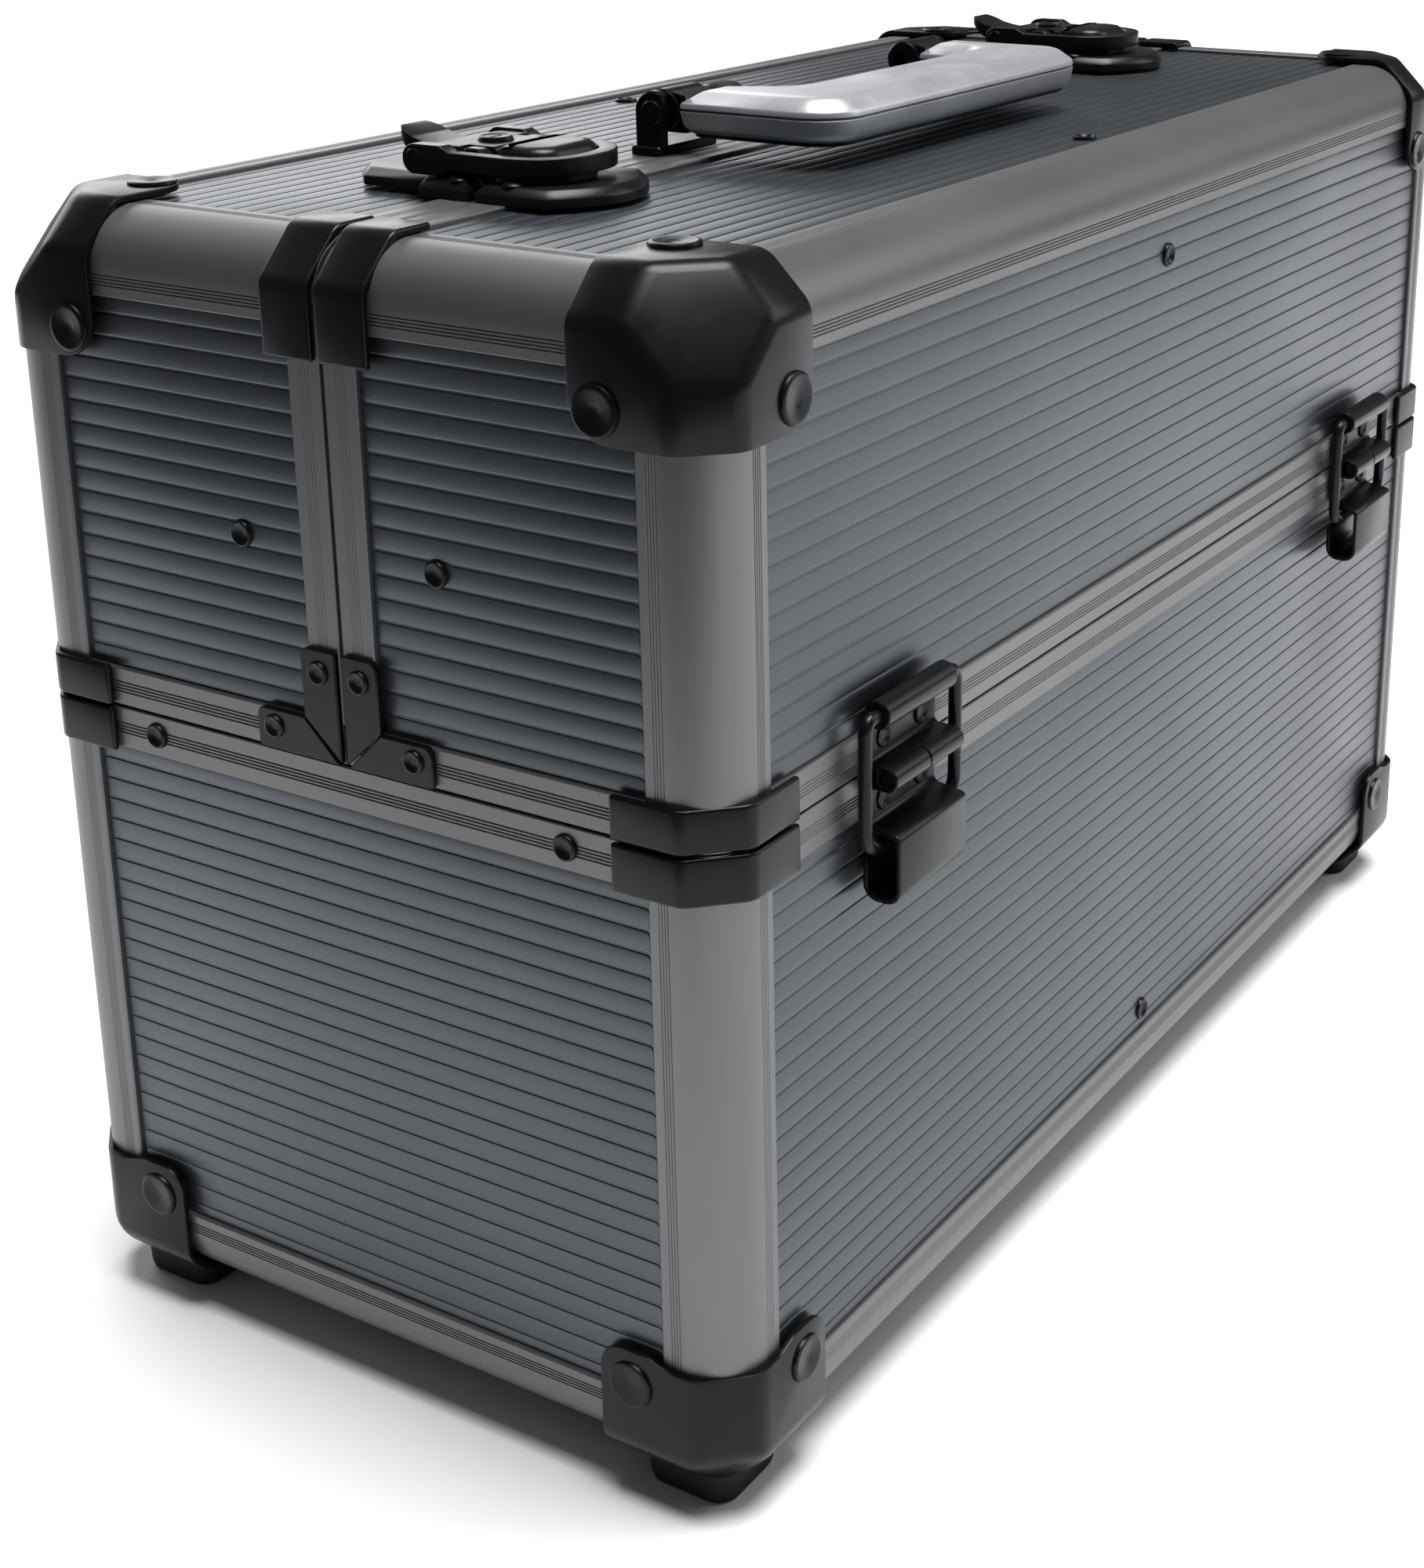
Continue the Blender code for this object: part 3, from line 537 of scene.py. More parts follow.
def base_rails():
    rim = flat_profile(BASE_EDGE, SEAM - BASE_RIM)
    along_x, along_y, posts = [], [], []
    for s in (-1, 1):
        along_x.append(([(s * (HALF_Y - u), BOTTOM + v) for u, v in EDGE], -RAIL_X, RAIL_X))
        along_x.append(([(s * (HALF_Y - d), z) for z, d in rim], -WINDOW_X, WINDOW_X))
        along_y.append(([(s * (HALF_X - u), BOTTOM + v) for u, v in EDGE], -RAIL_Y, RAIL_Y))
        along_y.append(([(s * (HALF_X - d), z) for z, d in rim], -WINDOW_Y, WINDOW_Y))
        for e in (-1, 1):
            outline = [(e * (HALF_X - u), s * (HALF_Y - v)) for u, v in EDGE]
            posts.append((outline, BOTTOM + SHORT - 4, BASE_EDGE))
    rail_set("base_rails_long", along_x, "X", "base", "base_frame")
    rail_set("base_rails_end", along_y, "Y", "base", "base_frame")
    rail_set("base_posts", posts, "Z", "base", "base_frame")


def add_tongue(along_x, posts):
    """The back half's rebate: a tongue just inside the faces that closes the slit between the halves."""
    tip, root = 0.2 - SPLIT, SPLIT + 0.5
    top, deep, crown = 1.2, 7.6, 2.6
    length = HALF_X - deep
    along_x.append((rectangle(tip, root, TOP - top, TOP - crown), -length, length))
    for e in (-1, 1):
        for start, high in ((top, TOP - ROUND), (deep - 2.0, TOP - crown)):
            near, far = e * (HALF_X - start), e * (HALF_X - deep)
            posts.append((rectangle(near, far, tip, root), SEAM + LID_RIM, high))


def lid_rails(side):
    s = SIDES[side]
    rim = flat_profile(LID_EDGE, SEAM + LID_RIM)
    split = flat_profile(SPLIT, SPLIT_RAIL)
    along_x = [
        ([(s * (HALF_Y - u), TOP - v) for u, v in EDGE], -RAIL_X, RAIL_X),
        ([(s * (HALF_Y - d), z) for z, d in rim], -WINDOW_X, WINDOW_X),
        ([(s * at, TOP - d) for at, d in split], -WINDOW_X, WINDOW_X),
    ]
    along_y, posts = [], []
    for e in (-1, 1):
        along_y.append(([(e * (HALF_X - u), TOP - v) for u, v in EDGE], s * SPLIT, s * RAIL_Y))
        along_y.append(([(e * (HALF_X - d), z) for z, d in rim], s * SPLIT, s * WINDOW_Y))
        outline = [(e * (HALF_X - u), s * (HALF_Y - v)) for u, v in EDGE]
        posts.append((outline, LID_EDGE, TOP - SHORT))
        outline = [(e * (HALF_X - d), s * at) for at, d in split]
        posts.append((outline, SEAM + LID_RIM, TOP - FLANGE))
    if side == "back":
        add_tongue(along_x, posts)
    body, node = f"lid_{side}", f"lid_frame_{side}"
    rail_set(f"lid_rails_long_{side}", along_x, "X", body, node)
    rail_set(f"lid_rails_end_{side}", along_y, "Y", body, node)
    rail_set(f"lid_posts_{side}", posts, "Z", body, node)


# --- panels ---


def add_panel(bm, face, u0, u1, v0, v1, surface):
    """A sheet with raised flat ribs across it. surface is how far the ribs' faces lie from the middle."""
    matrix = face_matrix(face)
    floor = surface - RIB_HIGH
    spare, margin = 0.3, 0.55

    def place(points, out):
        return [matrix @ Vector((u, v, out)) for u, v in points]

    sheet = rectangle(u0 - spare, u1 + spare, v0 - spare, v1 + spare)
    add_loft(bm, [place(sheet, floor - 1.1), place(sheet, floor)])
    levels = ((floor, 0.0), (surface - 0.16, 0.0), (surface - 0.05, 0.12), (surface, 0.32))
    start = v1
    size = FIRST_RIB
    while start - v0 > LEAST_RIB:
        end = start - min(size, start - v0)
        rib = rectangle(u0 + margin, u1 - margin, end + RIB_GAP / 2, start - RIB_GAP / 2)
        outline = soften(rib, 0.9, 2)
        add_loft(bm, [place(inset(outline, by), out) for out, by in levels])
        start = end
        size = RIB_PITCH


RIVET = [(2.9, 0), (2.9, 0.4), (2.72, 0.75), (2.4, 0.85), (2.1, 0.68), (1.5, 0.2), (0.8, 0.05), (0, 0.03)]
SMALL_RIVET = [(r * 0.9, h * 0.8) for r, h in RIVET]
DISC = [
    (5.3, -0.4), (5.3, 0.3), (5.15, 0.65), (4.8, 0.85), (4.3, 0.88),
    (3.7, 0.72), (2.1, 0.6), (1.5, 0.42), (0.8, 0.3), (0, 0.26),
]


def window(face, low, high):
    """A panel opening's edges: (from, to) across the face and up it."""
    half = WINDOW_X if face in SIDES else WINDOW_Y
    return -half, half, low, high


def base_panels():
    low, high = BOTTOM + FLANGE, SEAM - BASE_RIM
    for faces, axis, look in ((("front", "back"), "long", PANEL_X), (("left", "right"), "end", PANEL_Y)):
        bm = bmesh.new()
        for face in faces:
            out = (HALF_Y if axis == "long" else HALF_X) - PANEL_INSET
            add_panel(bm, face, *window(face, low, high), out)
        hang(bm, f"base_panels_{axis}", look, "base", ["base_shell"])
    bm = bmesh.new()
    add_panel(bm, "bottom", -WINDOW_X, WINDOW_X, -WINDOW_Y, WINDOW_Y, -BOTTOM - PANEL_INSET)
    hang(bm, "base_panel_bottom", PANEL_X, "base", ["base_shell"])
    bm = bmesh.new()
    for face in SIDES:
        add_turned(bm, face, (0, BOTTOM + 23), HALF_Y - PANEL_INSET, RIVET)
    for face in ENDS:
        for y in (-56, 56):
            add_turned(bm, face, (y, BASE_EDGE - 4.6), HALF_X, RIVET)
    hang(bm, "base_rivets", STEEL, "base", nodes=())


def lid_panels(side):
    s = SIDES[side]
    low, high = SEAM + LID_RIM, TOP - FLANGE
    body, node = f"lid_{side}", f"lid_shell_{side}"
    near, far = sorted((s * SPLIT_RAIL, s * WINDOW_Y))
    bm = bmesh.new()
    add_panel(bm, side, *window(side, low, high), HALF_Y - PANEL_INSET)
    add_panel(bm, "top", -WINDOW_X, WINDOW_X, near, far, TOP - PANEL_INSET)
    hang(bm, f"lid_panels_long_{side}", PANEL_X, body, [node])
    bm = bmesh.new()
    for face in ENDS:
        add_panel(bm, face, near, far, low, high, HALF_X - PANEL_INSET)
    hang(bm, f"lid_panels_end_{side}", PANEL_Y, body, [node])
    bm = bmesh.new()
    add_turned(bm, side, (0, BOTTOM + 226.8), HALF_Y - PANEL_INSET, RIVET)
    add_turned(bm, "top", (0, s * 69), TOP - PANEL_INSET, RIVET)
    for face in ENDS:
        add_turned(bm, face, (s * LID_RIVET_Y, LID_RIVET_Z), HALF_X - PANEL_INSET, RIVET)
    hang(bm, f"lid_rivets_{side}", STEEL, body, nodes=())


# --- linings ---

LINING_OUT, LINING_IN = 3.2, 5.5


def corner_facets(side, depth):
    """Planes that cut the upper corners of a lid, at a total distance in from the three faces."""
    made = []
    for e in (-1, 1):
        point = Vector((e * (HALF_X - depth), side * HALF_Y, TOP))
        made.append((point, Vector((e, side, 1)).normalized()))
    return made


def lining_base():
    def form(gap, high):
        low = BOTTOM + gap
        return rounded_box(
            (-HALF_X + gap, -HALF_Y + gap, low),
            (HALF_X - gap, HALF_Y - gap, high),
            ROUND - gap,
            lambda middle, along: abs(along.z) > 0.9 or abs(middle.z - low) < TOUCH,
        )

    made = cut(form(LINING_OUT, BASE_EDGE - 0.3), form(LINING_IN, SEAM + 10))
    hang(made, "base_lining", LINING, "base", ["base_shell"], bevel=0.3)
    bm = bmesh.new()
    for end in (-1, 1):
        for side in (-1, 1):
            pivot = pivot_of("base", side)
            inner, outer = HALF_X - 11.9, HALF_X - LINING_IN + 1
            add_rod(bm, "X", pivot, 2.5, end * inner, end * outer, soft=0.3)
            add_rod(bm, "X", pivot, 4.2, end * (inner + 0.1), end * (inner - 0.9), soft=0.35)
            add_rod(bm, "X", pivot, 4.6, end * (HALF_X - LINING_IN - 2.2), end * outer, soft=0.3)
    hang(bm, "base_arm_studs", BRIGHT, "base", nodes=())


def lining_lid(side):
    s = SIDES[side]

    def form(gap, split, low, facet):
        return rounded_box(
            (-HALF_X + gap, s * (HALF_Y - gap), low),
            (HALF_X - gap, s * split, TOP - gap),
            ROUND - gap,
            lambda middle, along: abs(middle.y - s * split) > TOUCH
            and (abs(along.z) > 0.9 or abs(middle.z - TOP + gap) < TOUCH),
            facets=corner_facets(s, facet),
        )

    made = cut(
        form(LINING_OUT, SPLIT + 0.3, LID_EDGE + 0.3, 29.0),
        form(LINING_IN, -20, SEAM - 20, 33.0),
    )
    hang(made, f"lid_lining_{side}", LINING, f"lid_{side}", [f"lid_shell_{side}"], bevel=0.3)
    bm = bmesh.new()
    wall = HALF_X - LINING_IN
    hung = pivot_of("hung", s)
    rivet = (s * LID_RIVET_Y, LID_RIVET_Z)
    for end in (-1, 1):
        outline = capsule(rivet, hung, 6.0)
        add_plate(
            bm, outline, "X",
            ((end * (wall + 0.2), 0.0), (end * (wall - 1.7), 0.0), (end * (wall - 2.1), 0.4)),
        )
        for place in (rivet, hung):
            add_rod(bm, "X", place, 3.6, end * (wall - 2.0), end * (wall - 3.0), soft=0.4)
    hang(bm, f"lid_straps_{side}", BRIGHT, f"lid_{side}", nodes=())


def capsule(a, b, radius, steps=10):
    """The outline of a bar with round ends, from a to b."""
    turn = math.atan2(b[1] - a[1], b[0] - a[0])
    points = []
    for centre, first in ((b, turn - math.pi / 2), (a, turn + math.pi / 2)):
        for i in range(steps + 1):
            angle = first + math.pi * i / steps
            points.append((centre[0] + radius * math.cos(angle), centre[1] + radius * math.sin(angle)))
    return points


def joint_place(name):
    joint = next(j for j in frame["joints"] if j["name"] == name)
    return Vector(joint["pos_m"]) / MM


def pivot_of(which, side):
    """A link pivot's (y, z): on the base, where a tray hangs, or where an arm holds it."""
    name = "front" if side < 0 else "back"
    base = joint_place(f"{name}_arms_hinge")
    hung = joint_place(f"{name}_tray_hinge")
    hinge = joint_place(f"lid_{name}_hinge")
    held = base + hung - hinge
    place = {"base": base, "hung": hung, "held": held}[which]
    return place.y, place.z


# --- corner mouldings ---


def corner_block(e, s, up, grow, chamfers, facet, size, soft):
    """A corner of the box, grown outward. chamfers cut its edges along X, Y and Z; facet cuts the tip."""
    out = Vector((e, s, up))
    crown = TOP if up > 0 else BOTTOM
    corner = Vector((e * (HALF_X + grow), s * (HALF_Y + grow), crown + up * grow))
    far = corner - out * size
    bm = bmesh.new()
    add_box(bm, map(min, corner, far), map(max, corner, far))
    for axis in range(3):
        direction = out.copy()
        direction[axis] = 0
        point = corner.copy()
        point[(axis + 1) % 3] -= out[(axis + 1) % 3] * chamfers[axis]
        slice_off(bm, point, direction.normalized())
    point = corner.copy()
    point[0] -= out[0] * facet
    slice_off(bm, point, out.normalized())
    if soft:
        bmesh.ops.recalc_face_normals(bm, faces=bm.faces)
        chosen = [e for e in bm.edges if any(min(map(abs, v.co - far)) > TOUCH for v in e.verts)]
        bmesh.ops.bevel(
            bm, geom=chosen, offset=soft, segments=4, profile=0.5, affect="EDGES", clamp_overlap=True
        )
    return to_object(bm)


def cap_shell(e, s, up, chamfers, facet, soft):
    """A corner block, hollowed to a wall 1.5 mm thick."""
    outer = corner_block(e, s, up, SKIN, chamfers, facet, 46.0, soft)
    inner = corner_block(e, s, up, SKIN - 1.5, [c - 0.9 for c in chamfers], facet - 1.9, 50.0, 0)
    return cut(outer, inner)


def cap_discs(end, side, up):
    """A cap's round plugs: one on each face, but none under the box."""
    e, s = ENDS[end], SIDES[side]
    x, y = e * (HALF_X - CAP_DISC), s * (HALF_Y - CAP_DISC)
    z = TOP - CAP_DISC if up > 0 else BOTTOM + 21.3
    bm = bmesh.new()
    if up > 0:
        add_turned(bm, "top", (x, y), TOP + SKIN, DISC, 40)
    add_turned(bm, end, (y, z), HALF_X + SKIN, DISC, 40)
    add_turned(bm, side, (x, z), HALF_Y + SKIN, DISC, 40)
    return bm


def top_cap(end, side):
    e, s = ENDS[end], SIDES[side]
    x, y, z = e * (HALF_X - CAP_REACH), s * (HALF_Y - CAP_REACH), TOP - CAP_REACH
    block = rounded_box(
        (x, y, z),
        (e * (HALF_X + PAST), s * (HALF_Y + PAST), TOP + PAST),
        9.0,
        lambda m, along: sum((abs(m.x - x) < TOUCH, abs(m.y - y) < TOUCH, abs(m.z - z) < TOUCH)) == 2,
        8,
    )
    cap = keep(cap_shell(e, s, 1, (9.8, 9.8, 9.8), 30.0, 2.4), block)
    add_on(cap, cap_discs(end, side, 1), 0.35)
    hang(cap, f"top_cap_{side}_{end}", MOULDING, f"lid_{side}")


def lobe_outline(corner, way, low, reach):
    """A bottom cap's outline on one face: a collar round the post that rises to a lobe over its plug."""
    high = BOTTOM + 27.4
    points = soften(
        [
            (-6.0, low), (-6.0, high), (15.0, high), (20.5, high + 1.8),
            (reach, high + 1.8), (reach, low),
        ],
        [0, 0, 9.0, 7.0, 8.5, 0], 6,
    )
    return [(corner - way * at, z) for at, z in points]


def bottom_cap(end, side):
    e, s = ENDS[end], SIDES[side]
    reach, deep, low = CAP_REACH + 1.4, 15.0, BOTTOM - PAST
    x, y = e * (HALF_X + PAST), s * (HALF_Y + PAST)
    plan = rectangle(x, e * (HALF_X - reach), y, s * (HALF_Y - reach))
    end_outline = lobe_outline(s * HALF_Y, s, low, reach)
    side_outline = lobe_outline(e * HALF_X, e, low, reach)
    block = union(
        solid(add_prism, soften(plan, [0, 0, 9, 0], 8), "Z", low, BOTTOM + 11.3),
        solid(add_prism, end_outline, "X", x, e * (HALF_X - deep)),
        solid(add_prism, side_outline, "Y", y, s * (HALF_Y - deep)),
    )
    cap = keep(cap_shell(e, s, -1, (7.2, 7.2, 9.8), 19.0, 3.0), block)
    add_on(cap, cap_discs(end, side, -1), 0.35)
    hang(cap, f"bottom_cap_{side}_{end}", MOULDING, "base")


def rim_band(end, side, on_lid):
    """A corner band: a collar round the post with a chamfered corner and rounded ends."""
    e, s = ENDS[end], SIDES[side]
    if on_lid:
        low, high = LID_EDGE + 0.1, SEAM + LID_RIM + 0.6
    else:
        low, high = SEAM - BASE_RIM - 0.6, BASE_EDGE - 0.1
    path = [
        (e * (HALF_X + SKIN), s * (HALF_Y - BAND_REACH)),
        (e * (HALF_X + SKIN), s * (HALF_Y - 8.6)),
        (e * (HALF_X - 8.6), s * (HALF_Y + SKIN)),
        (e * (HALF_X - BAND_REACH), s * (HALF_Y + SKIN)),
    ]
    path = soften(path, 4.5, 6, closed=False)
    way = 1 if e * s < 0 else -1
    outline = ribbon(path, -way * 1.7)
    band = solid(add_prism, outline, "Z", low, high)
    prefix = "lid" if on_lid else "base"
    name = f"{prefix}_rim_corner_{side}_{end}"
    body = f"lid_{side}" if on_lid else "base"
    hang(band, name, MOULDING, body, bevel=0.75, segments=4, sharp=40)


def foot(end, side):
    name = f"foot_{side}_{end}"
    low, high = node_box(name)
    outline = soften(rectangle(low.x, high.x, low.y, high.y), 5.5, 8)
    levels = ((high.z + 0.6, 0.0), (low.z + 1.6, 0.35), (low.z + 0.5, 0.7), (low.z, 1.4))
    hang(solid(add_plate, outline, "Z", levels), name, RUBBER, "base")


def split_clip(end, side):
    """The clip over the top of a lid's split rail, bent round the end edge."""
    e, s = ENDS[end], SIDES[side]
    path = [
        (e * (HALF_X + SKIN), TOP - 24.0),
        (e * (HALF_X + SKIN), TOP - 8.6),
        (e * (HALF_X - 8.6), TOP + SKIN),
        (e * (HALF_X - 19.5), TOP + SKIN),
    ]
    outline = ribbon(soften(path, 5.0, 6, closed=False), e * 1.75)
    made = solid(add_prism, outline, "Y", s * (SPLIT + 0.3), s * 13.6)
    hang(
        made, f"split_clip_{side}_{end}", MOULDING, f"lid_{side}",
        nodes=(), bevel=0.7, segments=4, sharp=40,
    )


def corner_bracket(end, side):
    """The mitred steel bracket where a split rail meets its rim, with a dished rivet in each leg."""
    e, s = ENDS[end], SIDES[side]
    low, bend, high = LID_EDGE + 0.2, SEAM + LID_RIM + 0.3, SEAM + 25.0
    near, corner, far = SPLIT + 0.3, 10.3, 23.8
    upright = soften(
        [(near, low + 0.5), (corner, bend + 0.15), (corner, high), (near, high)], [0, 0, 2.2, 1.0], 4
    )
    flat = soften(
        [(near + 0.5, low), (far, low), (far, bend), (corner + 0.15, bend)], [0, 1.0, 2.2, 0], 4
    )
    face = HALF_X
    bm = bmesh.new()
    for outline in (upright, flat):
        levels = ((e * (face - 0.2), 0.0), (e * (face + 1.0), 0.0), (e * (face + 1.3), 0.3))
        add_plate(bm, [(s * y, z) for y, z in outline], "X", levels)
    for y, z in ((5.5, SEAM + 20.0), (19.0, SEAM + 5.6)):
        add_turned(bm, end, (s * y, z), face + 1.25, SMALL_RIVET)
    hang(bm, f"split_bracket_{side}_{end}", STEEL, f"lid_{side}", nodes=())


# --- stay hinges ---

HINGE_HALF, LEAF, KNUCKLE, ROLL = 14.0, 1.2, 2.7, 3.1
LEAF_FACE = HALF_Y + 1.5
POCKET_OUT = node_box("hinge_lower_leaf_back_left")[1].y
POCKET_LOW = node_box("hinge_lower_leaf_back_left")[0].z
HINGE_OUT = joint_place("lid_back_hinge").y
ROLL_PLACE = (joint_place("back_bails_hinge").y, joint_place("back_bails_hinge").z)


def lower_leaf(end, side):
    s, centre = SIDES[side], HINGES[end]
    x0, x1 = centre - HINGE_HALF, centre + HINGE_HALF
    axis = (s * HINGE_OUT, SEAM)
    shelf = POCKET_LOW + 15.9
    path = [
        (HINGE_OUT + 0.4, SEAM - KNUCKLE), (LEAF_FACE, SEAM - KNUCKLE), (LEAF_FACE, shelf + 0.9),
        (POCKET_OUT, shelf - 0.2), (POCKET_OUT, POCKET_LOW), (LEAF_FACE - LEAF, POCKET_LOW),
        (LEAF_FACE - LEAF, POCKET_LOW + 9.5),
    ]
    radii = [0, 1.2, 1.6, 1.6, 3.6, 3.6, 0]
    outline = ribbon(soften(path, radii, 5, closed=False), -LEAF)
    made = solid(add_prism, [(s * y, z) for y, z in outline], "X", x0, x1)
    bm = bmesh.new()
    add_tube(bm, "X", axis, KNUCKLE, 1.75, centre + 0.2, x1)
    add_rod(bm, "X", axis, 1.5, x0 + 0.3, x1 - 0.3, soft=0.3)
    for x in (-7.8, 7.8):
        add_turned(bm, side, (centre + x, SEAM - 6.8), LEAF_FACE - 0.1, SMALL_RIVET)
    add_on(made, bm, 0.3)
    name = f"hinge_lower_leaf_{side}_{end}"
    hang(made, name, STEEL, "base")


def upper_leaf(end, side):
    s, centre = SIDES[side], HINGES[end]
    x0, x1 = centre - HINGE_HALF, centre + HINGE_HALF
    path = [
        (HINGE_OUT + 0.4, SEAM + KNUCKLE), (LEAF_FACE, SEAM + KNUCKLE), (LEAF_FACE, ROLL_PLACE[1] + 0.5),
    ]
    outline = ribbon(soften(path, [0, 1.2, 0], 5, closed=False), LEAF)
    made = solid(add_prism, [(s * y, z) for y, z in outline], "X", x0, x1)
    bm = bmesh.new()
    add_tube(bm, "X", (s * HINGE_OUT, SEAM), KNUCKLE, 1.75, x0, centre - 0.2)
    add_tube(bm, "X", (s * ROLL_PLACE[0], ROLL_PLACE[1]), ROLL, 1.75, x0, x1)
    for x in (-7.8, 7.8):
        add_turned(bm, side, (centre + x, SEAM + 7.0), LEAF_FACE - 0.1, SMALL_RIVET)
    add_on(made, bm, 0.3)
    name = f"hinge_upper_leaf_{side}_{end}"
    hang(made, name, STEEL, f"lid_{side}")


def wire_loop(points, radius, sides=16):
    """A closed wire through points in space, as a mesh."""
    bm = bmesh.new()
    count = len(points)
    rings = []
    normal = Vector((0, 1, 0))
    for i, point in enumerate(points):
        tangent = (points[(i + 1) % count] - points[i - 1]).normalized()
        other = normal.cross(tangent).normalized()
        ring = [point + radius * (normal * b + other * a) for a, b in circle(1.0, sides)]
        rings.append(ring)
    add_loft(bm, rings, cyclic=True)
    return to_object(bm)


def bail(end, side):
    name = f"stay_bail_{side}_{end}"
    low, high = node_box(name)
    wire = 1.5
    y = (low.y + high.y) / 2
    corners = rectangle(low.x + wire, high.x - wire, low.z + wire, high.z - wire)
    outline = soften(corners, [5.0, 5.0, 2.5, 2.5], 7)
    made = wire_loop([Vector((x, y, z)) for x, z in outline], wire)
    hang(made, name, STEEL, f"{side}_stay_bails")


# --- trays ---


def tray(side):
    s = SIDES[side]
    name = f"tray_{side}"
    x, near, far = 183.0, s * 4.0, s * 76.0
    low, high = BOTTOM + 150.0, BOTTOM + 190.0
    plan = soften([(-x, near), (x, near), (x, far), (-x, far)], 6.0, 6)
    bm = bmesh.new()
    levels = [
        (low, 2.0), (low + 0.6, 0.9), (low + 2.0, 0.5), (high - 3.2, 0.5), (high - 3.0, 0.0),
        (high - 0.4, 0.0), (high, 0.4), (high, 1.7), (high - 0.4, 2.1), (low + 5.0, 2.6),
        (low + 3.0, 3.4), (low + 2.2, 5.5),
    ]
    add_plate(bm, plan, "Z", levels)
    wall = HALF_X - LINING_IN
    for end in (-1, 1):
        for which, outer in (("hung", wall - 0.8), ("held", HALF_X - 8.7)):
            place = pivot_of(which, s)
            add_rod(bm, "X", place, 2.5, end * (x - 2.5), end * outer, soft=0.3)
            add_rod(bm, "X", place, 4.6, end * (x - 1.0), end * (x + 1.0), soft=0.3)
    hang(bm, name, TRAY, f"{side}_tray")


def tray_arm(end, side):
    e, s = ENDS[end], SIDES[side]
    name = f"tray_arm_{side}_{end}"
    low, high = node_box(name)
    inner, outer = (low.x, high.x) if e > 0 else (high.x, low.x)
    outline = capsule(pivot_of("base", s), pivot_of("held", s), 6.0, 12)
    bm = bmesh.new()
    add_plate(
        bm, outline, "X",
        ((inner, 0.4), (inner + e * 0.4, 0.0), (outer - e * 0.4, 0.0), (outer, 0.4)),
    )
    made = to_object(bm)
    holes = [
        solid(add_rod, "X", pivot_of("base", s), 2.8, inner - e * 2, outer + e * 2),
        solid(add_rod, "X", pivot_of("held", s), 3.6, inner - e * 2, outer + e * 2),
    ]
    hang(cut(made, *holes), name, BRIGHT, f"{side}_tray_arms")


# --- latches ---

PLATE_LOW, PLATE_TOP = TOP + 0.15, TOP + 3.8
LEVER_TOP = TOP + 10.2
PLATE_LEVELS = (
    (PLATE_LOW, 0.0), (PLATE_TOP - 2.0, 0.0), (PLATE_TOP - 1.6, 0.2), (PLATE_TOP - 0.2, 1.7),
    (PLATE_TOP, 2.1),
)
LEVER_AXIS = (joint_place("left_lever_hinge").y, joint_place("left_lever_hinge").z)
LOOP_PIN = (joint_place("left_loop_hinge").y, joint_place("left_loop_hinge").z)
KEY_Y = joint_place("left_key_turn").y


def nose_outline(centre, half, root, shoulder, tip, steps=12):
    """Straight sides from root to shoulder, then an arc that bulges out to tip."""
    points = [(centre - half, root), (centre + half, root)]
    for i in range(steps + 1):
        x = half - 2 * half * i / steps
        points.append((centre + x, shoulder + (tip - shoulder) * (1 - (x / half) ** 2)))
    return points


def latch_plate(name):
    c = LATCHES[name]
    tip = nose_outline(c, 12.5, 18.5, 34.5, 42.0)[2:]
    outline = [(c - 18, 0.8), (c + 18, 0.8), (c + 18, 14.5), (c + 12.5, 18.0)] + tip
    outline += [(c - 12.5, 18.0), (c - 18, 14.5)]
    bm = bmesh.new()
    add_plate(bm, outline, "Z", PLATE_LEVELS)
    ear = soften(rectangle(0.9, 7.8, PLATE_TOP - 1, LEVER_AXIS[1] + 2.4), [0, 0, 1.6, 3.0], 8)
    for s in (-1, 1):
        inner, outer = c + s * 8.35, c + s * 11.4
        levels = ((inner, 0.3), (inner + s * 0.3, 0.0), (outer - s * 0.4, 0.0), (outer, 0.4))
        add_plate(bm, ear, "X", levels)
        add_turned(bm, "top", (c + s * 14.4, 5.6), PLATE_TOP - 0.1, DOME)
    hang(bm, f"latch_plate_{name}", STEEL, "lid_back")


DOME = [(2.6, 0), (2.55, 0.3), (2.2, 0.62), (1.5, 0.85), (0.7, 0.95), (0, 0.97)]


def latch_strike(name):
    c = LATCHES[name]
    outline = [(x, -y) for x, y in nose_outline(c, 18.0, 0.8, 19.0, 28.0)]
    bm = bmesh.new()
    add_plate(bm, outline, "Z", PLATE_LEVELS)
    head = soften(rectangle(c - 11.0, c + 11.0, -1.2, -14.6), [0.8, 0.8, 10.6, 10.6], 12)
    levels = (
        (PLATE_TOP - 1, 0.6), (TOP + 6.4, 0.6), (TOP + 7.0, 0.0), (TOP + 8.6, 0.0),
        (TOP + 9.9, 0.45), (TOP + 10.7, 1.5), (TOP + 11.0, 3.2),
    )
    add_plate(bm, head, "Z", levels)
    toe = soften(rectangle(c - 9.6, c + 9.6, -2.0, -15.6), [0, 0, 8, 8], 8)
    add_plate(bm, toe, "Z", ((PLATE_TOP - 1, 0.0), (TOP + 6.0, 0.0), (TOP + 6.5, 0.5)))
    for s in (-1, 1):
        add_turned(bm, "top", (c + s * 14.4, -8.6), PLATE_TOP - 0.1, DOME)
    hang(bm, f"latch_strike_{name}", STEEL, "lid_front")


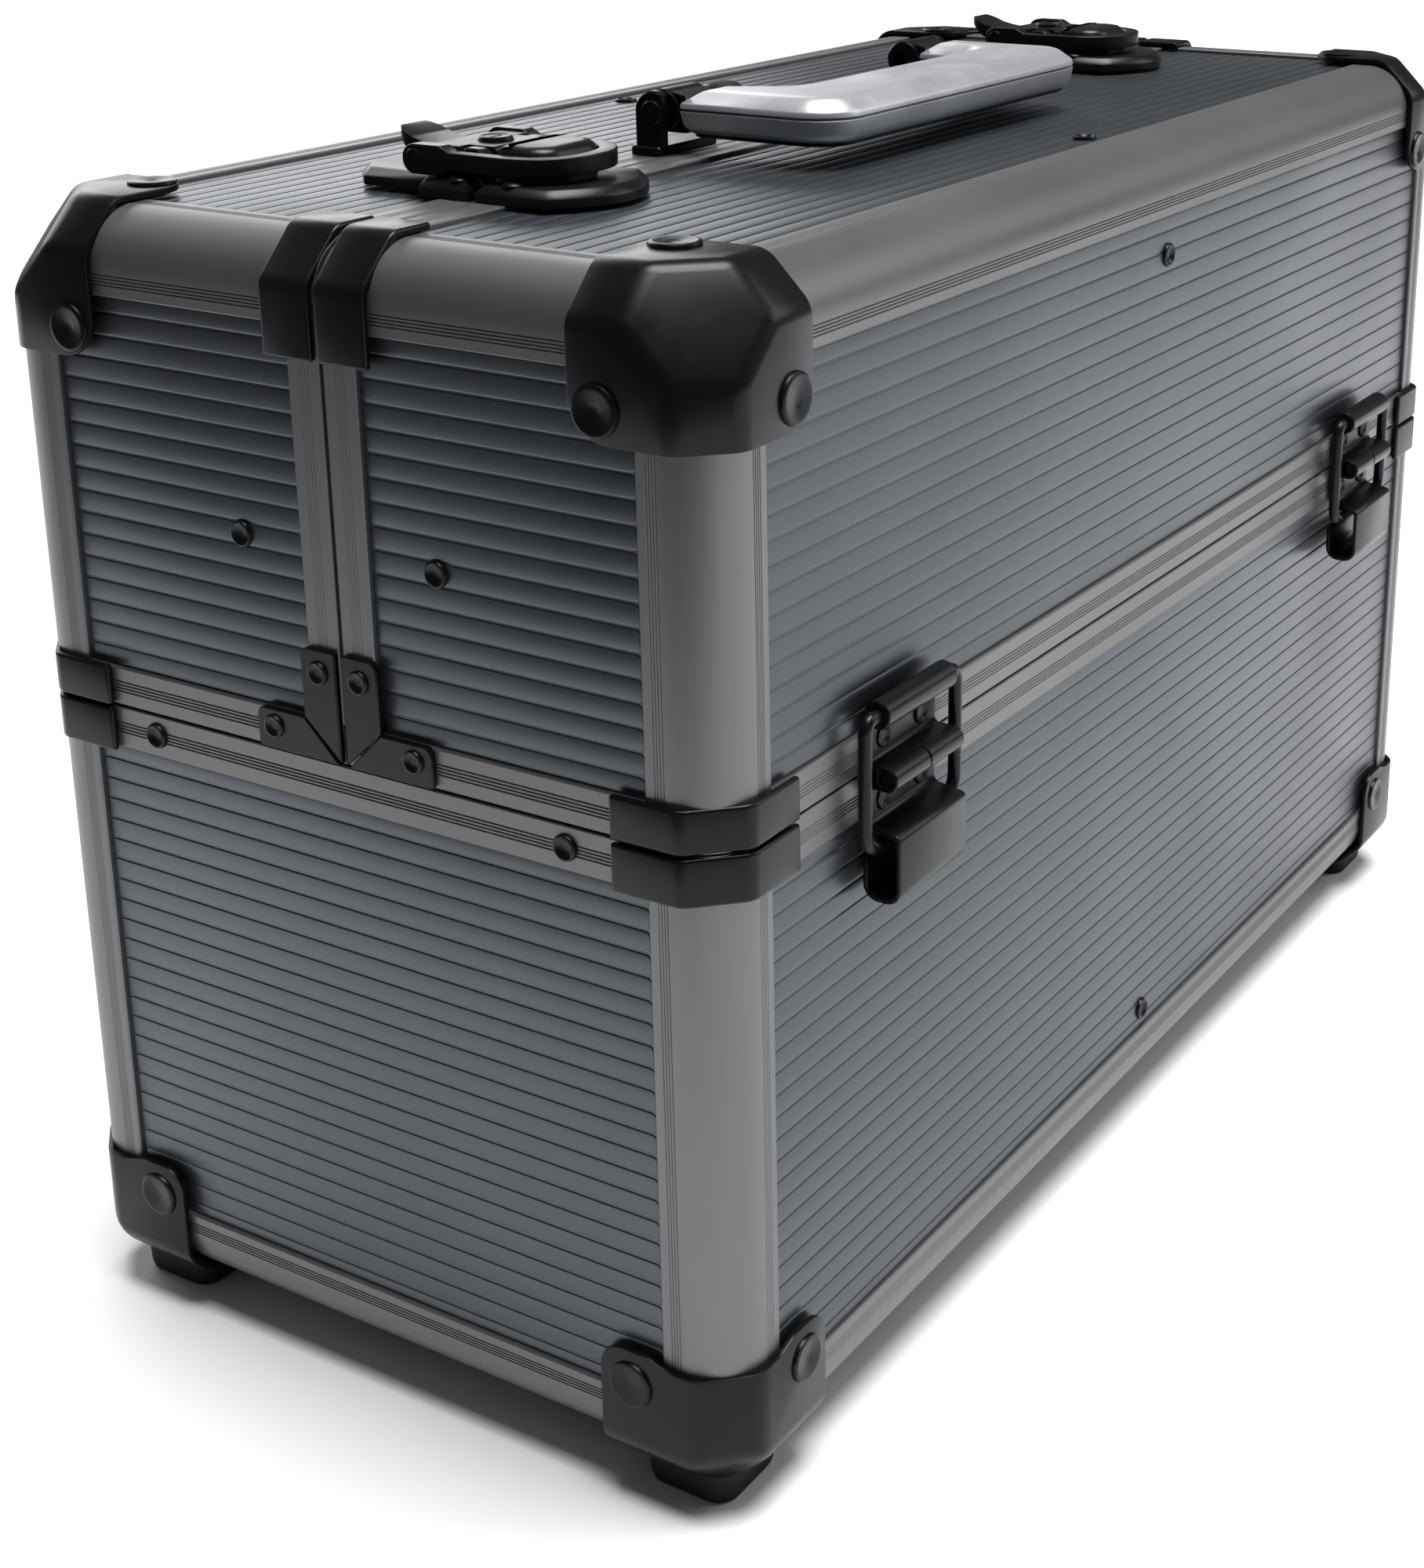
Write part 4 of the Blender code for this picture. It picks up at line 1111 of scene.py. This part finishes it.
def latch_lever(name):
    c = LATCHES[name]
    y, z = LEVER_AXIS
    low = PLATE_TOP + 0.6
    profile = soften(
        [
            (y + 4.3, low), (20.0, low), (26.5, low + 2.6), (31.3, low + 6.4), (31.3, low + 8.2),
            (26.0, low + 5.9), (20.5, LEVER_TOP - 1.2), (15.5, LEVER_TOP), (y + 4.3, LEVER_TOP),
        ],
        [0, 4, 5, 0.8, 0.8, 5, 2, 3, 0], 4,
    )
    body = solid(add_prism, profile, "X", c - 11.5, c + 11.5)
    plan = soften(
        [
            (c - 11.5, -9), (c + 11.5, -9), (c + 11.5, 16.0), (c + 6.2, 22.0), (c + 6.0, 31.4),
            (c - 6.0, 31.4), (c - 6.2, 22.0), (c - 11.5, 16.0),
        ],
        [0, 0, 6, 5, 5.8, 5.8, 5, 6], 8,
    )
    keep(body, solid(add_prism, plan, "Z", PLATE_TOP - 5, TOP + 30))
    neck = soften(
        [(y - 3.0, z - 3.0), (y + 6, z - 3.0), (y + 6, LEVER_TOP - 0.03), (y - 3.0, LEVER_TOP - 0.03)],
        [2.8, 0, 0, 1.2], 8,
    )
    union(body, solid(add_prism, neck, "X", c - 8.0, c + 8.0))
    cut(body, solid(add_rod, "Z", (c, KEY_Y), 4.0, LEVER_TOP - 1.6, LEVER_TOP + 5, 40))
    hang(body, f"latch_lever_{name}", STEEL, f"{name}_latch_lever", bevel=0.8, segments=4, sharp=40)


def key_plug(name):
    c = LATCHES[name]
    bm = bmesh.new()
    profile = [(3.7, -1.3), (3.7, 0.5), (3.55, 0.8), (3.2, 0.95), (2.9, 0.8), (0, 0.72)]
    add_turned(bm, "top", (c, KEY_Y), LEVER_TOP, profile, 40)
    plug = to_object(bm)
    low, high = (c - 2.1, KEY_Y - 0.45, LEVER_TOP - 0.5), (c + 2.1, KEY_Y + 0.45, LEVER_TOP + 4)
    slot_cut = solid(add_box, low, high)
    hang(cut(plug, slot_cut), f"latch_key_plug_{name}", STEEL, f"{name}_key_plug")


def latch_loop(name):
    c = LATCHES[name]
    y, z = LOOP_PIN
    half, gap = 15.9, 12.1
    outside = [(c - half, y + 2.6), (c - half, -20.0), (c + half, -20.0), (c + half, y + 2.6)]
    inside = [(c - gap, y + 9), (c - gap, -16.2), (c + gap, -16.2), (c + gap, y + 9)]
    ring = solid(add_prism, soften(outside, [0.6, 14, 14, 0.6], 12), "Z", z - 1.9, z + 1.9)
    hole = solid(add_prism, soften(inside, [0, 10.5, 10.5, 0], 10), "Z", z - 9, z + 9)
    cheek = [
        (y + 3.3, z - 3.2), (y + 3.3, z + 3.2), (y - 7.0, z + 3.2), (y - 9.5, z + 1.9),
        (y - 9.5, z - 1.9), (y - 7.0, z - 3.2),
    ]
    cheek = soften(cheek, [3.1, 3.1, 1.5, 0, 0, 1.5], 8)
    cheeks = [solid(add_prism, cheek, "X", c + s * half, c + s * gap) for s in (-1, 1)]
    made = cut(union(ring, *cheeks), hole)
    bm = bmesh.new()
    add_rod(bm, "X", (y, z), 1.5, c - 13, c + 13)
    for s in (-1, 1):
        add_tube(bm, "X", (y, z), 2.3, 1.1, c + s * 15.5, c + s * 16.2, 28, 0.2)
    add_on(made, bm, 1.1, 4)
    hang(made, f"latch_loop_{name}", STEEL, f"{name}_latch_loop")


# --- handle ---

GRIP_LOW, GRIP_HIGH = node_box("handle_lower")[0], node_box("handle_upper")[1]
GRIP_LEFT, GRIP_RIGHT, GRIP_FRONT = GRIP_LOW.x, GRIP_HIGH.x, GRIP_LOW.y
HANDLE_AXIS = (joint_place("handle_hinge").y, joint_place("handle_hinge").z)
ARM, GRIP_BACK = 15.0, -17.0


def add_grip(bm, back, levels):
    """A level-by-level form of the handle seen from above: two arms and a grip with round corners."""
    left, right = GRIP_LEFT, GRIP_RIGHT
    points = [
        (left, back), (left, GRIP_FRONT), (right, GRIP_FRONT), (right, back), (right - ARM, back),
        (right - ARM, GRIP_BACK), (left + ARM + 9, GRIP_BACK), (left + ARM, back),
    ]
    rings = []
    for z, by in levels:
        radii = [0, 11.5 - by, 11.5 - by, 0, 0, 4.0 + by, 7.0 + by, 0]
        outline = soften(inset(points, by), radii, 8)
        rings.append([(x, y, z) for x, y in outline])
    add_loft(bm, rings)


def handle():
    back = HANDLE_AXIS[0] - 5.5
    seam = TOP + 10.5
    upper = (
        (seam + 0.12, 0.35), (seam + 0.4, 0.0), (seam + 1.3, 0.1), (seam + 1.7, 0.35),
        (TOP + 14.1, 3.1), (TOP + 14.6, 3.9), (TOP + 14.9, 5.0), (TOP + 15.0, 6.2),
    )
    lower = (
        (TOP + 5.0, 2.4), (TOP + 5.2, 1.9), (TOP + 6.4, 0.9), (TOP + 7.4, 0.45),
        (seam - 0.4, 0.0), (seam - 0.12, 0.35),
    )
    for name, levels in (("handle_upper", upper), ("handle_lower", lower)):
        hang(solid(add_grip, back, levels), name, SILVER, "handle", sharp=50)
    bm = bmesh.new()
    add_grip(bm, back, ((TOP + 4.0, 3.2), (TOP + 4.4, 2.6), (TOP + 5.3, 2.4)))
    y, z = HANDLE_AXIS
    neck = [(y, z - 4.9), (y, z + 4.9), (back - 1, z + 3.6), (back - 1, z - 4.9)]
    for outer, inward in ((GRIP_LEFT, 1), (GRIP_RIGHT, -1)):
        x0, x1 = outer + inward * 0.3, outer + inward * (ARM - 0.6)
        add_prism(bm, neck, "X", x0 + inward * 0.6, x1 - inward * 0.6)
        add_tube(bm, "X", (y, z), 5.0, 2.7, x0, x1, 40, 0.4)
    hang(bm, "handle_core", MOULDING, "handle", ["handle_lower"])


def handle_bracket(name):
    outer, inward = (GRIP_LEFT, 1) if name == "left" else (GRIP_RIGHT, -1)
    y, z = HANDLE_AXIS
    ear_in, ear_out = outer - inward * 0.8, outer - inward * 3.5
    low = TOP + 0.15
    ear = soften(rectangle(y - 4.9, y + 4.9, low, z + 4.9), [0, 0, 4.8, 4.8], 10)
    ear = [(max(a, 0.8), b) for a, b in ear]
    levels = ((ear_in, 0.3), (ear_in - inward * 0.3, 0.0), (ear_out + inward * 0.4, 0.0), (ear_out, 0.4))
    bm = bmesh.new()
    add_plate(bm, ear, "X", levels)
    x0, x1 = sorted((ear_out - inward * 1.2, outer + inward * (ARM + 4)))
    base = soften(rectangle(x0, x1, 0.8, y + 6.2), [0.6, 0.6, 2.0, 2.0], 4)
    add_plate(bm, base, "Z", ((low, 0.0), (low + 1.7, 0.0), (low + 2.1, 0.4)))
    add_rod(bm, "X", (y, z), 2.5, ear_in + inward * 0.2, outer + inward * 6, soft=0.3)
    add_rod(bm, "X", (y, z), 2.9, ear_out + inward * 0.2, ear_out - inward * 0.6, soft=0.4)
    hang(bm, f"handle_bracket_{name}", MOULDING, "lid_back")


def bumper():
    low, high = node_box("handle_bumper")
    x, y, _ = (low + high) / 2
    tall = high.z - low.z
    profile = [
        (5.5, 0), (5.5, 1.0), (5.35, tall - 2.6), (4.9, tall - 1.4), (3.9, tall - 0.5),
        (2.4, tall - 0.1), (0, tall),
    ]
    hang(solid(add_turned, "top", (x, y), low.z, profile, 40), "handle_bumper", RUBBER, "lid_back")


# --- stage ---


def floor():
    bm = bmesh.new()
    bm.faces.new([bm.verts.new((x, y, 0)) for x, y in rectangle(*FLOOR)])
    made = to_object(bm, "floor")
    look = Look("pale_floor", (0.86, 0.86, 0.855), 0.75, specular=0.2)
    look.tint(look.noise(6), 0.985, 1.015)
    made.data.materials.append(look.material)


def softbox(name, place, target, size, power):
    light = bpy.data.lights.new(name, "AREA")
    light.shape = "RECTANGLE"
    light.size, light.size_y = size
    light.energy = power
    made = linked(name, light)
    made.location = place
    made.rotation_euler = (Vector(target) - Vector(place)).to_track_quat("-Z", "Y").to_euler()


def lights():
    softbox("key", (1.5, -1.7, 1.5), (0, 0, 0.1), (1.6, 1.6), 19)
    softbox("back", (0.9, 1.9, 1.0), (0, 0, 0.2), (2.4, 1.2), 24)
    sun = bpy.data.lights.new("overhead", "SUN")
    sun.energy = 5.3
    sun.angle = math.radians(36)
    linked("overhead", sun).rotation_euler = (math.radians(6), math.radians(4), 0)


def surroundings():
    """A pale studio: white behind the object, and dimmer than that to light it."""
    world = bpy.data.worlds.new("studio")
    bpy.context.scene.world = world
    world.use_nodes = True
    nodes, links = world.node_tree.nodes, world.node_tree.links
    nodes.clear()
    mix = nodes.new("ShaderNodeMixShader")
    lit, seen = ((0.95, 0.97, 1.0, 1), 0.1), ((1, 1, 1, 1), 1.05)
    for i, (colour, strength) in enumerate((lit, seen), 1):
        values = {"Color": colour, "Strength": strength}
        background = set_inputs(nodes.new("ShaderNodeBackground"), values)
        links.new(background.outputs[0], mix.inputs[i])
    path = nodes.new("ShaderNodeLightPath")
    out = nodes.new("ShaderNodeOutputWorld")
    links.new(path.outputs["Is Camera Ray"], mix.inputs["Fac"])
    links.new(mix.outputs[0], out.inputs["Surface"])


def camera():
    """The photo's camera, as fitted to the box's edges: the turn is the world's, about one axis."""
    data = bpy.data.cameras.new("camera")
    made = linked("camera", data)
    bpy.context.scene.camera = made
    data.sensor_width = 36.0
    data.lens = 56.52
    data.shift_x, data.shift_y = -0.08, -0.15
    data.clip_start, data.clip_end = 0.02, 30.0
    place = Vector((-542.24, -333.27, 352.3)) * MM
    turn = Vector((1.69541, -0.95104, 0.68397))
    right, down, forward = Matrix.Rotation(turn.length, 3, turn.normalized())
    rotation = Matrix((right, -down, -forward)).transposed()
    made.matrix_world = Matrix.Translation(place) @ rotation.to_4x4()


def main():
    base_rails()
    base_panels()
    lining_base()
    for side in SIDES:
        for build in (lid_rails, lid_panels, lining_lid, tray):
            build(side)
        for end in ENDS:
            top_cap(end, side)
            bottom_cap(end, side)
            rim_band(end, side, False)
            rim_band(end, side, True)
            for build in (foot, split_clip, corner_bracket, lower_leaf, upper_leaf, bail, tray_arm):
                build(end, side)
    for name in LATCHES:
        for build in (latch_plate, latch_strike, latch_lever, key_plug, latch_loop):
            build(name)
    handle()
    handle_bracket("left")
    handle_bracket("right")
    bumper()
    floor()
    lights()
    surroundings()
    camera()
    bpy.context.scene.view_settings.view_transform = "Standard"


main()
